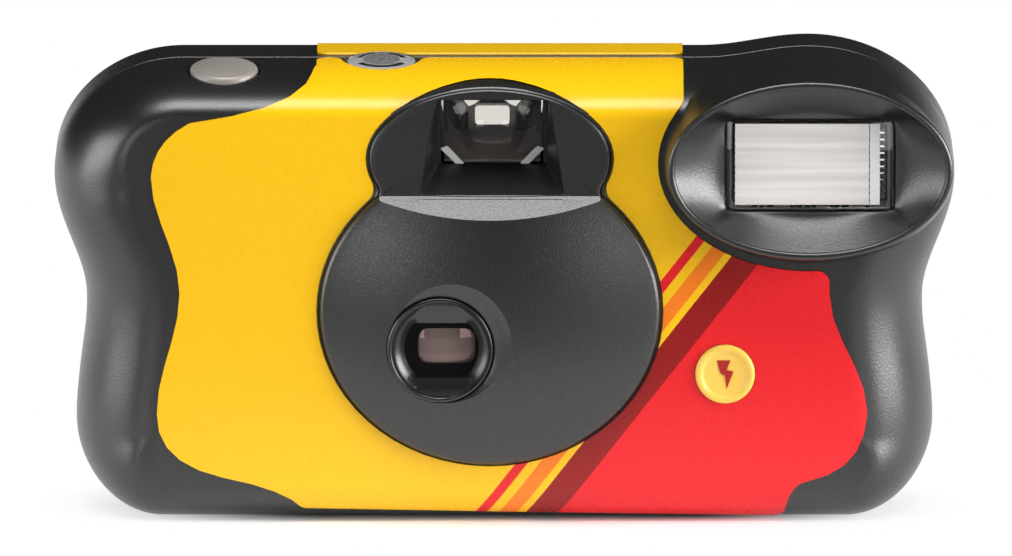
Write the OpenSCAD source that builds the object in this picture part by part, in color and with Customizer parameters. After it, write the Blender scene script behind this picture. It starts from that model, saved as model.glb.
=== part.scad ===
// Single-use 35 mm film camera with a built-in flash.
// +Z is up, the lens looks along -Y and +X is on the right of someone facing the lens.
// The origin is in the middle of the footprint, on the base.

/* [Body] */
// Width across the shoulders
body_w = 118; // [116:1:130]
// Height of the flat part of the top
body_h = 59; // [58.5:0.5:66]
// Depth from the flash rim to the back
body_d = 36.5; // [36.5:0.5:44]
// Depth of the front cover behind its flat face
front_depth = 16; // [15:0.5:18]
// Wall of the two covers
wall = 1.6; // [1.2:0.1:2]
// How far each grip draws in at the waist
waist_in = 4.2; // [2:0.1:5]
// How far each grip draws in at the hip
hip_in = 2.8; // [1:0.1:4]
// Height of the waist
waist_z = 27.5; // [24:0.5:32]
// Drop from the flat top to the shoulders
shoulder_drop = 15; // [13:0.5:17]
// Width of the rounded corner on the counter side of the top
top_corner_w = 17; // [14:0.5:20]
// Radius of the corners at the base
base_corner = 11.5; // [11:0.5:12]
// Width of the rolled edge at the sides of the front
side_roll = 10.5; // [8:0.5:11]
// Height of the rolled edge at the top of the front
top_roll = 5.5; // [4:0.5:7]
// Height of the rolled edge at the base of the front
base_roll = 4.5; // [3:0.5:6]
// Depth of the rolled edge at the base of the front
base_roll_depth = 6; // [4:0.5:8]
// Straight land between the seam and the rolled edge
seam_land = 1; // [0.5:0.1:2]
// Width of the rounded edge round the back
back_roll = 5; // [3:0.5:6]
// Width of the rounded edge at the base of the back
back_base_roll = 2.5; // [2:0.5:3]

/* [Labels] */
// Thickness of the printed labels
label_t = 0.25; // [0.15:0.05:0.4]
// Width of the strip over the top
label_strip_w = 47.9; // [44:0.1:50]
// From the middle of the boss to the middle of the strip
label_strip_lead = 1.3; // [0:0.1:3]
// Width of the foot that runs down to the base
label_foot_w = 62.3; // [56:0.1:66]
// From the middle of the boss to the middle of the foot
label_foot_lead = 7.3; // [5:0.1:9]
// Bare edge beside the front label at the shoulder
label_shoulder_in = 12.9; // [12:0.1:14]
// Bare edge beside the front label at the waist
label_waist_in = 12.4; // [11:0.1:14]
// Bare edge beside the front label at the hip
label_hip_in = 9.8; // [8:0.1:11]
// How far the lower part of the front label sits to the flash side
label_shift = 1; // [0:0.1:2]
// Rounding of the corners of the labels
label_round = 1.6; // [1:0.1:2]
// Bare edge on each side of the seam
label_seam_gap = 1.7; // [1:0.1:2.5]
// Bare edge round what stands through a label
label_gap = 0.4; // [0.3:0.1:1]

/* [Lens boss] */
// Width of the round lens boss
boss_w = 44.5; // [42:0.5:50]
// Height of the round lens boss
boss_h = 40.4; // [38:0.2:44]
// From the lens sideways to the middle of the boss
boss_lead = 6.5; // [5:0.1:8]
// From the lens up to the middle of the boss
boss_rise = 4.6; // [3:0.1:6]
// How far the crown of the boss stands off the face
boss_out = 4.3; // [3.5:0.1:5]
// Radius of the domed front of the boss
dome_r = 73; // [65:1:90]
// Width of the viewfinder lobe above the boss
lobe_w = 31.6; // [29:0.2:36]
// Height of the viewfinder lobe
lobe_h = 18.6; // [16:0.1:20]
// From the top down to the middle of the lobe
lobe_drop = 10.7; // [10:0.1:12]
// How far the lobe stands off the face
lobe_out = 1; // [0.8:0.1:2]
// Radius of the slight dome on the lobe
lobe_dome_r = 300; // [200:10:400]
// Drop of the slope under the recess for each length that it comes forward
boss_slope = 1.2; // [0.8:0.1:2]
// Fillet at the neck between boss and lobe
neck_fillet = 2.5; // [1:0.5:4]

/* [Viewfinder] */
// From the middle of the boss to the viewfinder
finder_lead = 0.3; // [0:0.1:1]
// Width of the viewfinder front lens
finder_lens_w = 13.2; // [12:0.2:15]
// Height of the viewfinder front lens
finder_lens_h = 9.2; // [8:0.1:9.2]
// Chamfer on the lower corners of the front lens
finder_chamfer = 2.2; // [1:0.1:3]
// Width of the recess at its foot
finder_mouth_w = 18.9; // [17:0.1:22]
// Width of the recess at its top
finder_mouth_top_w = 15; // [14:0.2:18]
// From the middle of the lobe down to the foot of the recess
finder_mouth_drop = 4.8; // [4.3:0.1:5.3]
// Depth of the recess behind the lobe
finder_depth = 6; // [5:0.1:7.5]
// Thickness of the viewfinder front lens
finder_lens_t = 1.6; // [1.4:0.1:2]
// Width of the eyepiece opening
eyepiece_w = 9; // [7:0.2:11]
// Height of the eyepiece opening
eyepiece_h = 5; // [4.4:0.2:8]
// Thickness of the eyepiece lens
eyepiece_t = 1.6; // [1.4:0.1:2]

/* [Film] */
// Radius of the film cartridge
cartridge_r = 12.5; // [12:0.1:13]
// Height of the cartridge between its caps
cartridge_h = 42; // [41:0.1:43]
// Width of the film
film_w = 35; // [34:0.5:36]
// Thickness of the film
film_t = 0.15; // [0.1:0.01:0.25]
// Width of the picture
frame_w = 36; // [34:0.5:37]
// Height of the picture
frame_h = 24; // [22:0.5:25]
// From the cartridge axis to the near edge of the picture
gate_lead = 11.1; // [10.5:0.1:12]
// From the far edge of the picture to the supply axis
supply_lead = 12.4; // [12:0.1:14]
// Radius of the full film roll
film_roll_r = 8.9; // [8:0.1:9.2]
// Radius of the supply spool core
supply_core_r = 5; // [4:0.1:6]
// Radius of the cartridge spool core
spool_r = 5.6; // [5.2:0.1:6]
// Distance between two film perforations
perforation_pitch = 4.75; // [4.5:0.05:5]
// Teeth on the film sprocket
sprocket_teeth = 8; // [6:1:8]
// Frames on the counter wheel
counter_marks = 30; // [24:1:36]
// Radius of the counter wheel
counter_r = 6.8; // [6:0.1:6.9]
// Radius of the thumbwheel
thumbwheel_r = 12.8; // [12.4:0.1:13]
// Thickness of the thumbwheel
thumbwheel_t = 4; // [3:0.2:4.4]
// Grip ribs on the thumbwheel
thumbwheel_ribs = 48; // [36:1:60]

/* [Taking lens] */
// Radius of the hole in the boss
lens_hole_r = 7; // [6.5:0.1:7.5]
// Radius of the shallow dish round the hole
lens_dish_r = 10.2; // [9.5:0.1:11]
// Radius of the lens
lens_r = 5.6; // [5:0.1:5.8]
// Half height of the flats in the lens hood
hood_flat = 3.4; // [3:0.1:4]
// Radius of the aperture behind the shutter
aperture_r = 2.6; // [2:0.1:3]
// Thickness of the shutter blade
blade_t = 0.3; // [0.2:0.05:0.4]

/* [Flash] */
// From the right shoulder to the middle of the flash
flash_inset = 19.2; // [18:0.2:21]
// From the top down to the middle of the flash
flash_drop = 11.3; // [11:0.1:12.5]
// Half width of the flash rim
rim_rx = 18.6; // [17:0.1:19]
// Half height of the flash rim
rim_rz = 11.8; // [11:0.1:12.2]
// How far the bezel spreads sideways at its foot
bezel_flare_x = 0.8; // [0.5:0.1:2]
// How far the bezel spreads downwards at its foot
bezel_flare_z = 2.1; // [1:0.1:3]
// How far the rim stands off the face
rim_out = 6.25; // [5.5:0.25:7]
// Width of the rim
rim_t = 1; // [0.8:0.1:1.4]
// Width of the flash window
window_w = 22; // [20:0.5:23]
// Height of the flash window
window_h = 12; // [11:0.5:12.5]
// Depth of the dish from the rim to the window
dish_depth = 4.7; // [3.5:0.1:5]
// Rise of the top over the flash
bump_rise = 1.5; // [0.5:0.1:2.5]
// Run of the rise towards the middle
bump_run = 14; // [12:0.5:18]
// Ribs on the flash lens
lens_ribs = 11; // [7:1:15]
// Radius of the flash tube
tube_r = 1.6; // [1.4:0.1:1.8]
// Depth of the reflector bowl
reflector_depth = 6; // [5:0.2:6.4]

/* [Electrics] */
// Radius of the battery
battery_r = 7.25; // [6.9:0.05:7.25]
// Height of the battery without its nub
battery_h = 49.2; // [48.5:0.1:49.4]
// Radius of the flash capacitor
capacitor_r = 6; // [5:0.1:6.2]
// Length of the flash capacitor
capacitor_l = 30; // [24:0.5:31]
// Width of the circuit board
board_w = 36; // [32:0.5:37]
// Height of the circuit board
board_h = 35.5; // [32:0.5:36]
// Thickness of the circuit board
board_t = 1.2; // [0.8:0.1:1.6]

/* [Controls] */
// Radius of the shutter button
button_r = 4.45; // [4:0.05:4.6]
// Travel of the shutter button
button_travel = 1.2; // [0.8:0.1:1.3]
// Radius of the domed top of the shutter button
button_dome_r = 24; // [18:1:40]
// Forward slope of the shutter button
button_tilt = 9; // [0:1:14]
// Radius of the flash button
flash_button_r = 3.9; // [3.5:0.1:4.2]
// Travel of the flash button
flash_button_travel = 1; // [0.6:0.1:1.1]
// Radius of the counter window
counter_window_r = 4.6; // [4.2:0.1:4.9]
// Forward slope of the counter window
counter_tilt = 5; // [0:1:8]

/* [Fits] */
// Gap round a fixed piece in its seat
fit = 0.15; // [0.1:0.05:0.2]
// Gap round a turning pin in its bore
run_fit = 0.05; // [0.02:0.01:0.1]
// Gap beside a moving piece
move_gap = 0.3; // [0.25:0.05:0.4]
// Thickness of the chassis walls
chassis_t = 1; // [0.8:0.1:1.2]

/* [Hidden] */
$fn = 64;
hull_fn = 32;
dome_fn = 128;
lens_fn = 240;
over = 1;
thin = 0.01;
half_w = body_w / 2;
waist_x = half_w - waist_in;
hip_x = half_w - hip_in;
shoulder_z = body_h - shoulder_drop;
flash_x = half_w - flash_inset;
crest_z = body_h + bump_rise;
mid_z = body_h / 2;
face_y = -body_d / 2 + rim_out;
back_y = body_d / 2 - label_t;
seam_y = face_y + front_depth;
inner_face_y = face_y + wall;
inner_back_y = back_y - wall;
inner_top_z = body_h - wall;
crown_y = face_y - boss_out;
lobe_y = face_y - lobe_out;
rim_y = face_y - rim_out;

// Lip of the back cover inside the front cover
lip_t = 1;
lip_l = 1.6;
lip_root = 1.5;

// Film path
back_gap = 0.4;
film_gap = 0.85;
floor_gap = 0.9;
grip_gap = 0.75;
cartridge_x = -waist_x + wall + fit + lip_t + grip_gap + chassis_t + move_gap + cartridge_r;
cartridge_y = inner_back_y - back_gap - cartridge_r;
cartridge_z = wall + floor_gap;
cartridge_top = cartridge_z + cartridge_h;
lens_x = cartridge_x + gate_lead + frame_w / 2;
lens_z = cartridge_z + cartridge_h / 2;
film_y = inner_back_y - film_gap - film_t;
film_z = lens_z - film_w / 2;
film_top = lens_z + film_w / 2;
gate_y = film_y - 0.1;
supply_x = lens_x + frame_w / 2 + supply_lead;
supply_y = film_y - film_roll_r - 0.1;
supply_flange_r = film_roll_r + 0.5;
supply_flange_t = 1;
supply_chamber_r = supply_flange_r + 0.5;
supply_reach = 2.8;
sprocket_r = perforation_pitch * sprocket_teeth / (2 * PI);
sprocket_y = film_y - sprocket_r;
sprocket_x = cartridge_x + cartridge_r + 8;
perforation_z = film_top - 3.4;
perforation_w = 2.8;
perforation_h = 2;

// Places on the front
boss_x = lens_x + boss_lead;
boss_z = lens_z + boss_rise;
lobe_z = body_h - lobe_drop;
flash_z = body_h - flash_drop;
strip_left = boss_x + label_strip_lead - label_strip_w / 2;
strip_right = strip_left + label_strip_w;
foot_left = boss_x + label_foot_lead - label_foot_w / 2;
foot_right = foot_left + label_foot_w;

// Decks of the mechanism
deck_t = 1.2;
deck_z = cartridge_top + 0.7;
deck_top = deck_z + deck_t;
wheel_z = deck_top + 0.5;
wheel_top = wheel_z + thumbwheel_t;
counter_z = wheel_top + 2;
counter_t = 1;
counter_x = sprocket_x - 0.5;
counter_y = sprocket_y - 8.5;
finger_t = 1;
finger_z = counter_z - 0.6 - finger_t;
pin_r = 1.2;
axle_r = 1.5;

// Lens and shutter stack, from the chassis forwards
stop_y = face_y + 3.5;
stop_t = 1.2;
blade_y = stop_y - 0.4 - blade_t;
plate_t = 1.2;
plate_inset = 2.6;
plate_half_w = 13;
plate_top = film_top - 1;
shutter_plate_y = blade_y - 1.2 - plate_t;
retainer_back_y = shutter_plate_y - 0.2;
shoulder_y = retainer_back_y - 1.3;
hood_y = retainer_back_y - 3.4;
lens_t = 1.5;
flange_r = lens_hole_r + 1;
pivot_r = 1;
pivot_x = lens_x + 7.5;
pivot_z = lens_z + 7.5;
drive_x = lens_x - 2.5;
drive_y = stop_y + 5;
metering_x = sprocket_x - 2.5;
metering_y = stop_y + 6;

// Viewfinder
finder_x = boss_x + finder_lead;
finder_y = lobe_y + finder_depth;
finder_top = inner_top_z - 1.7;
finder_foot = finder_top - finder_lens_h;
finder_mouth_z = lobe_z - finder_mouth_drop;
finder_end_w = finder_lens_w + 1.2;
finder_hollow_r = 11;
finder_hollow_d = 0.9;
eyepiece_z = lobe_z + 2.9;
ready_x = finder_x + 12.6;
ready_z = lobe_z + 2.6;
ready_r = 1.4;

// Controls
button_x = cartridge_x + 0.85;
button_y = seam_y - 6.9;
button_top = body_h + 0.3;
button_flange = 0.7;
button_flange_t = 0.8;
button_flange_top = inner_top_z - 2.1;
button_foot = button_flange_top - button_flange_t - 1.4;
leaf_t = 0.5;
leaf_top = button_foot - button_travel - move_gap;
leaf_x = sprocket_x - 5.2;
leaf_y = stop_y + 2;
window_x = counter_x + 1.4;
window_y = seam_y - 2.4;
window_flange = 0.9;
window_flange_t = 0.8;
window_flange_top = inner_top_z - 0.8;
flash_button_x = flash_x - 11;
flash_button_z = 19.8;
flash_button_out = 1;
flash_button_foot = inner_face_y + 1.5;

// Electrics
switch_t = 0.3;
board_lead = 27.8;
board_x = flash_x - board_lead;
board_y = flash_button_foot + flash_button_travel + 0.6 + switch_t;
board_back = board_y + board_t;
board_z = 5;
board_top = board_z + board_h;
board_slot = 0.1;
post_inset = 3;
board_posts_at = [[board_x + post_inset, board_z + post_inset], [board_x + post_inset, board_top - post_inset],
    [board_x + board_w - 2 * post_inset, board_z + post_inset]];
battery_gap = 1.1;
battery_x = waist_x - wall - fit - lip_t - battery_gap - battery_r;
battery_y = inner_back_y - back_gap - battery_r;
battery_z = wall + 1.4;
battery_nub = 1.3;
contact_t = 0.4;
contact_gap = 0.1;
capacitor_x = cartridge_x + cartridge_r + 2;
capacitor_y = inner_face_y + capacitor_r + 0.9;
capacitor_z = wall + move_gap + capacitor_r;
flash_lens_y = rim_y + dish_depth - 0.2;
flash_flange = 1;
reflector_y = inner_face_y + 1.1;
reflector_t = 0.5;
reflector_w = window_w - 1.6;
tube_y = reflector_y + reflector_depth / 2;

// Thumb groove in the back
groove_r = 7.5;
groove_y = back_y + 3.3;
groove_z = wheel_top + 1;
groove_end = cartridge_x + 11;

// Curves. Each gives its points without the last one, so that they follow on.
function arc(cx, cz, rx, rz, from, to, n) =
    [for (i = [0:n - 1]) let (a = from + (to - from) * i / n) [cx + rx * cos(a), cz + rz * sin(a)]];
function ease(t) = (1 - cos(180 * t)) / 2;
function sway(a, b, n) =
    [for (i = [0:n - 1]) let (t = i / n) [a.x + (b.x - a.x) * ease(t), a.y + (b.y - a.y) * t]];
function rise(a, b, n) =
    [for (i = [0:n - 1]) let (t = i / n) [a.x + (b.x - a.x) * t, a.y + (b.y - a.y) * ease(t)]];
function bend(a, c, b, n) =
    [for (i = [0:n - 1]) let (t = i / n, s = 1 - t) s * s * a + 2 * s * t * c + t * t * b];
function straight(a, b, n) = [for (i = [0:n - 1]) a + (b - a) * i / n];
function ellipse(cx, cz, rx, rz, n = 64) = arc(cx, cz, rx, rz, 0, 360, n);
function unit(v) = v / norm(v);
function outward(e) = unit([e.y, -e.x]);

// Front view of the body at the seam, anticlockwise from the base
outline = concat(
    arc(hip_x - base_corner, base_corner, base_corner, base_corner, -90, 0, 7),
    sway([hip_x, base_corner], [waist_x, waist_z], 5),
    sway([waist_x, waist_z], [half_w, shoulder_z], 6),
    arc(flash_x, shoulder_z, flash_inset, crest_z - shoulder_z, 0, 90, 9),
    rise([flash_x, crest_z], [flash_x - bump_run, body_h], 6),
    straight([flash_x - bump_run, body_h], [top_corner_w - half_w, body_h], 6),
    arc(top_corner_w - half_w, shoulder_z, top_corner_w, shoulder_drop, 90, 180, 9),
    sway([-half_w, shoulder_z], [-waist_x, waist_z], 6),
    sway([-waist_x, waist_z], [-hip_x, base_corner], 5),
    arc(base_corner - hip_x, base_corner, base_corner, base_corner, 180, 270, 7),
    straight([base_corner - hip_x, 0], [hip_x - base_corner, 0], 8));
outline_n = len(outline);
normals = [for (i = [0:outline_n - 1])
    let (before = outline[(i + outline_n - 1) % outline_n], after = outline[(i + 1) % outline_n])
    unit(outward(outline[i] - before) + outward(after - outline[i]))];
// The outline moved outwards by grow
function grown_outline(grow) = [for (i = [0:outline_n - 1]) outline[i] + normals[i] * grow];

// Width and depth of the rolled edge where the outline faces the direction n
function base_share(n) = n.y < 0 ? n.y * n.y : 0;
function front_roll_r(n) = side_roll * n.x * n.x + (n.y > 0 ? top_roll : base_roll) * n.y * n.y;
function front_roll_d(n) =
    (front_depth - seam_land) * (1 - base_share(n)) + base_roll_depth * base_share(n);
function back_roll_r(n) = back_roll * (1 - base_share(n)) + back_base_roll * base_share(n);

// Ring of the skin where the roll has gone t of its depth. side is -1 on the front and 1 on the back.
function ring(side, grow, t) =
    [for (i = [0:outline_n - 1])
        let (n = normals[i],
            r = side < 0 ? front_roll_r(n) : back_roll_r(n),
            d = side < 0 ? front_roll_d(n) : back_roll_r(n),
            flat_y = side < 0 ? face_y : back_y,
            p = outline[i] + n * (grow - (r + grow) * (1 - sqrt(1 - t * t))))
        [p.x, flat_y - side * d + side * t * (d + grow), p.y]];
function mouth_ring(grow, y) = [for (p = grown_outline(grow)) [p.x, y, p.y]];
fine = [for (a = [0:15:90]) sin(a)];
coarse = [for (a = [0:22.5:90]) sin(a)];

// Closed solid of one half of the body, grown outwards by grow and open at the plane y
module skin(side, grow, steps, y) {
    rings = concat([mouth_ring(grow, y)], [for (t = steps) ring(side, grow, t)]);
    last = len(rings) - 1;
    points = concat([for (r = rings) each r],
        [[0, y, mid_z], [0, (side < 0 ? face_y : back_y) + side * grow, mid_z]]);
    mouth = len(points) - 2;
    end = len(points) - 1;
    base = last * outline_n;
    sides = [for (k = [0:last - 1], i = [0:outline_n - 1])
        let (j = (i + 1) % outline_n,
            a = k * outline_n + i, b = k * outline_n + j,
            c = a + outline_n, d = b + outline_n)
        each [[a, c, d], [a, d, b]]];
    caps = [for (i = [0:outline_n - 1])
        let (j = (i + 1) % outline_n)
        each [[mouth, i, j], [end, base + j, base + i]]];
    faces = concat(sides, caps);
    polyhedron(points, side < 0 ? faces : [for (f = faces) [f.x, f.z, f.y]]);
}

// Flat shape in the front view, extruded along Y between two planes
module front_prism(from_y, to_y) {
    translate([0, to_y, 0]) rotate([90, 0, 0]) linear_extrude(to_y - from_y) children();
}
// Shape in the side view (y, z), extruded along X
module side_prism(from_x, to_x) {
    translate([from_x, 0, 0]) rotate([90, 0, 90]) linear_extrude(to_x - from_x) children();
}
// Round rods along the three axes
module x_rod(y, z, r, from_x, to_x) {
    translate([from_x, y, z]) rotate([0, 90, 0]) cylinder(r = r, h = to_x - from_x);
}
module y_rod(x, z, r, from_y, to_y, end_r = 0) {
    translate([x, from_y, z]) rotate([-90, 0, 0])
        cylinder(r1 = r, r2 = end_r > 0 ? end_r : r, h = to_y - from_y);
}
module z_rod(x, y, r, from_z, to_z) {
    translate([x, y, from_z]) cylinder(r = r, h = to_z - from_z);
}
module block(from, to) {
    translate(from) cube(to - from);
}
// Block with a front-view rectangle w wide from foot to top, thin unless t is given
module frame_slab(x, w, foot, top, y, t = thin) {
    block([x - w / 2, y, foot], [x + w / 2, y + t, top]);
}
// Bar with round ends in plan, from a to b
module plan_bar(a, b, r, from_z, to_z) {
    translate([0, 0, from_z]) linear_extrude(to_z - from_z) hull() {
        translate(a) circle(r, $fn = hull_fn);
        translate(b) circle(r, $fn = hull_fn);
    }
}
// Bar with round ends in the front view, tapering from r at a to end_r at b
module front_bar(a, b, r, end_r) {
    hull() {
        translate(a) circle(r, $fn = hull_fn);
        translate(b) circle(end_r, $fn = hull_fn);
    }
}
// Wire swept along a helix round Z
module coil(r, wire_r, turns, height, rings_per_turn = 8, sides = 6) {
    steps = turns * rings_per_turn;
    top = steps * sides;
    points = [for (k = [0:steps], s = [0:sides - 1])
        let (a = 360 * k / rings_per_turn, b = 360 * s / sides, reach = r + wire_r * cos(b))
        [reach * cos(a), reach * sin(a), height * k / steps + wire_r * sin(b)]];
    walls = [for (k = [0:steps - 1], s = [0:sides - 1])
        let (a = k * sides + s, b = k * sides + (s + 1) % sides)
        each [[a, b, b + sides], [a, b + sides, a + sides]]];
    ends = [for (s = [1:sides - 2]) each [[0, s + 1, s], [top, top + s, top + s + 1]]];
    polyhedron(points, concat(walls, ends));
}

// Front-view outlines shared by the covers, the labels and the shutter plate
module boss_ellipse(grow = 0) {
    polygon(ellipse(boss_x, boss_z, boss_w / 2 + grow, boss_h / 2 + grow));
}
module boss_outline(grow = 0) {
    offset(r = grow - neck_fillet) offset(r = neck_fillet) {
        boss_ellipse();
        polygon(ellipse(boss_x, lobe_z, lobe_w / 2, lobe_h / 2));
    }
}
module plate_outline(grow = 0) {
    intersection() {
        boss_ellipse(grow - plate_inset);
        translate([lens_x - plate_half_w - grow, 0]) square([2 * (plate_half_w + grow), plate_top + grow]);
    }
}
module rim_ellipse(grow = 0) {
    polygon(ellipse(flash_x, flash_z, rim_rx + grow, rim_rz + grow));
}
module bezel_foot(grow = 0) {
    polygon(ellipse(flash_x, flash_z, rim_rx + bezel_flare_x + grow, rim_rz + bezel_flare_z + grow));
}
module window_rect(w, h, x, z) {
    translate([x - w / 2, z - h / 2]) square([w, h]);
}

// Domed boss with the viewfinder lobe, cut by a slope under the recess
module lens_boss() {
    front_y = crown_y - over;
    rear_y = inner_face_y - over;
    difference() {
        intersection() {
            front_prism(front_y, rear_y) boss_outline();
            union() {
                translate([boss_x, lobe_y + lobe_dome_r, lobe_z]) sphere(lobe_dome_r, $fn = dome_fn);
                translate([boss_x, crown_y + dome_r, boss_z]) sphere(dome_r, $fn = dome_fn);
            }
        }
        side_prism(boss_x - boss_w, boss_x + boss_w)
            polygon([[lobe_y, finder_mouth_z], [lobe_y, body_h], [front_y, body_h],
                [front_y, finder_mouth_z - boss_slope * (lobe_y - front_y)]]);
    }
}
// The dome of the boss made smaller all round
module boss_core(inset) {
    intersection() {
        front_prism(crown_y, inner_face_y + over) boss_ellipse(-inset);
        translate([boss_x, crown_y + dome_r, boss_z]) sphere(dome_r - inset, $fn = dome_fn);
    }
}
// Hollow behind the dome, round the tube that holds the lens
module boss_hollow() {
    difference() {
        boss_core(wall);
        y_rod(lens_x, lens_z, flange_r + wall, crown_y, inner_face_y + 2 * over);
    }
}
// Tapered recess in front of the viewfinder, grown by grow for the wall round it
module finder_recess(grow = 0) {
    mouth_y = grow > 0 ? lobe_y + wall : lobe_y - over;
    half_foot = finder_mouth_w / 2 + grow;
    half_top = finder_mouth_top_w / 2 + grow;
    top = finder_top + 0.6 + grow;
    hull() {
        front_prism(mouth_y, mouth_y + thin) polygon([
            [finder_x - half_foot, finder_mouth_z - grow], [finder_x + half_foot, finder_mouth_z - grow],
            [finder_x + half_top, top], [finder_x - half_top, top]]);
        frame_slab(finder_x, finder_end_w + 2 * grow, finder_foot + 0.3 - grow,
            finder_top - 0.4 + grow, finder_y - thin);
    }
}
// Flared tube of the flash, merged into the top and the shoulder behind it
module flash_bezel() {
    edge = 0.3;
    intersection() {
        union() {
            hull() {
                front_prism(inner_face_y - thin, inner_face_y) bezel_foot();
                front_prism(rim_y, rim_y + thin) rim_ellipse();
            }
            front_prism(inner_face_y - thin, seam_y - seam_land) bezel_foot();
        }
        front_prism(rim_y - over, seam_y) polygon(grown_outline(-edge));
    }
}
// Dish from the rim back to the window, grown by grow for the wall behind it
module flash_dish(grow = 0) {
    floor_y = rim_y + dish_depth + grow;
    hull() {
        front_prism(rim_y - thin, rim_y) rim_ellipse(grow - rim_t);
        front_prism(floor_y, floor_y + thin)
            window_rect(window_w + 2 * grow, window_h + 2 * grow, flash_x, flash_z);
    }
}
// Room behind the bezel for the flash unit
module flash_bay() {
    room = 2 * (flash_flange + 0.3);
    front_prism(inner_face_y, seam_y) window_rect(window_w + room, window_h + room, flash_x, flash_z);
}
module board_posts() {
    for (p = board_posts_at)
        y_rod(p.x, p.y, axle_r, crown_y, board_y);
}
// What stands inside the front cover, cut off in the middle of its wall
module inner_fittings() {
    intersection() {
        union() {
            finder_recess(chassis_t);
            board_posts();
        }
        union() {
            skin(-1, -wall / 2, coarse, seam_y);
            boss_core(wall / 2);
        }
    }
}
// Room for the cartridge and the battery in the rounded base corners
module corner_relief() {
    z_rod(cartridge_x, cartridge_y, cartridge_r + fit, cartridge_z - fit, mid_z);
    z_rod(battery_x, battery_y, battery_r + fit, battery_z - fit, mid_z);
}
module counter_opening(grow) {
    z_rod(window_x, window_y, counter_window_r + grow, mid_z, body_h + over);
}

module front_cover() {
    color([0.10, 0.10, 0.11]) difference() {
        union() {
            difference() {
                union() {
                    skin(-1, 0, fine, seam_y);
                    lens_boss();
                    flash_bezel();
                }
                skin(-1, -wall, coarse, seam_y + over);
                boss_hollow();
                corner_relief();
            }
            inner_fittings();
        }
        finder_recess();
        flash_dish();
        front_prism(rim_y, 0) window_rect(window_w, window_h, flash_x, flash_z);
        flash_bay();
        y_rod(lens_x, lens_z, lens_dish_r, crown_y - 0.5, crown_y + 1.8, lens_hole_r);
        y_rod(lens_x, lens_z, lens_hole_r, crown_y - over, 0);
        y_rod(lens_x, lens_z, flange_r, shoulder_y, 0);
        front_prism(shutter_plate_y - move_gap, 0) plate_outline(fit);
        y_rod(flash_button_x, flash_button_z, flash_button_r + fit, face_y - over, 0);
        z_rod(button_x, button_y, button_r + fit, mid_z, body_h + over);
        counter_opening(fit);
    }
}

module thumb_groove(r) {
    x_rod(groove_y, groove_z, r, -body_w, groove_end);
    translate([groove_end, groove_y, groove_z]) sphere(r);
}
module eyepiece_recess() {
    flare = 3;
    front_y = inner_back_y + 0.4;
    hull() {
        front_prism(back_y, back_y + thin)
            window_rect(eyepiece_w + flare, eyepiece_h + flare, finder_x, eyepiece_z);
        front_prism(front_y, front_y + thin) window_rect(eyepiece_w, eyepiece_h, finder_x, eyepiece_z);
    }
}
// Lip that registers the back cover inside the front cover, and the root that ties it to the wall
module seam_lip() {
    front_prism(seam_y - lip_l, seam_y + lip_root) lip_band(-wall - fit);
    front_prism(seam_y, seam_y + lip_root) lip_band(-wall / 2);
}
module lip_band(outer) {
    difference() {
        polygon(grown_outline(outer));
        polygon(grown_outline(-wall - fit - lip_t));
        translate([-half_w, 0]) square([body_w, base_corner]);
    }
}
// Rails on the inside of the back that keep the film flat
module film_rails() {
    rail_t = 1.2;
    for (side = [-1, 1])
        frame_slab(lens_x, frame_w, lens_z + side * (frame_h / 2 + 2.6) - rail_t / 2,
            lens_z + side * (frame_h / 2 + 2.6) + rail_t / 2, film_y + film_t + 0.2, film_gap);
}
module back_cover() {
    color([0.12, 0.12, 0.13]) difference() {
        union() {
            difference() {
                skin(1, 0, coarse, seam_y);
                skin(1, -wall, coarse, seam_y - over);
                corner_relief();
            }
            intersection() {
                thumb_groove(groove_r + wall);
                skin(1, -wall / 2, coarse, seam_y);
            }
            seam_lip();
            film_rails();
        }
        thumb_groove(groove_r);
        eyepiece_recess();
        front_prism(0, back_y) window_rect(eyepiece_w, eyepiece_h, finder_x, eyepiece_z);
        z_rod(cartridge_x, cartridge_y, thumbwheel_r + move_gap, wheel_z - move_gap, wheel_top + move_gap);
        counter_opening(fit);
        z_rod(window_x, window_y, counter_window_r + window_flange + fit, mid_z, inner_top_z);
        y_rod(ready_x, ready_z, ready_r + fit, seam_y, back_y + over);
    }
}

// Front view of the front label: a strip from the top that widens between the grips and narrows to a foot
module front_label_shape() {
    foot_z = 0.35;
    curl_h = 6;
    top_z = body_h + 4 * label_round;
    shoulder = [label_shoulder_in - half_w, shoulder_z + 2];
    neck = [shoulder.x + 5, body_h - curl_h];
    waist = [label_waist_in - waist_x, waist_z + 3];
    hip = [label_hip_in + label_shift - hip_x, base_corner + 3];
    heel = [foot_left - 11, curl_h];
    far_waist = [waist_x - label_waist_in, waist_z + 3];
    far_hip = [hip_x - label_hip_in + label_shift, base_corner + 3];
    far_heel = [foot_right + 3, curl_h - 0.5];
    polygon(concat(
        bend([strip_left, body_h], [strip_left - 2, neck.y + 2], neck, 5),
        bend(neck, [shoulder.x + 0.3, neck.y - 2.5], shoulder, 5),
        sway(shoulder, waist, 5),
        sway(waist, hip, 5),
        bend(hip, [hip.x - 0.2, curl_h + 2], heel, 5),
        bend(heel, [foot_left - 0.6, curl_h - 2], [foot_left, foot_z], 5),
        bend([foot_right, foot_z], [foot_right + 0.3, curl_h - 1], far_heel, 5),
        bend(far_heel, [far_hip.x - 0.4, curl_h + 1], far_hip, 5),
        sway(far_hip, far_waist, 5),
        [far_waist, [far_waist.x, flash_z], [strip_right, flash_z],
            [strip_right, top_z], [strip_left, top_z]]));
}
// Opens out by removing what is narrower than a circle, which rounds the outer corners
module rounded(r) {
    offset(r = r) offset(r = -r) children();
}
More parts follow.
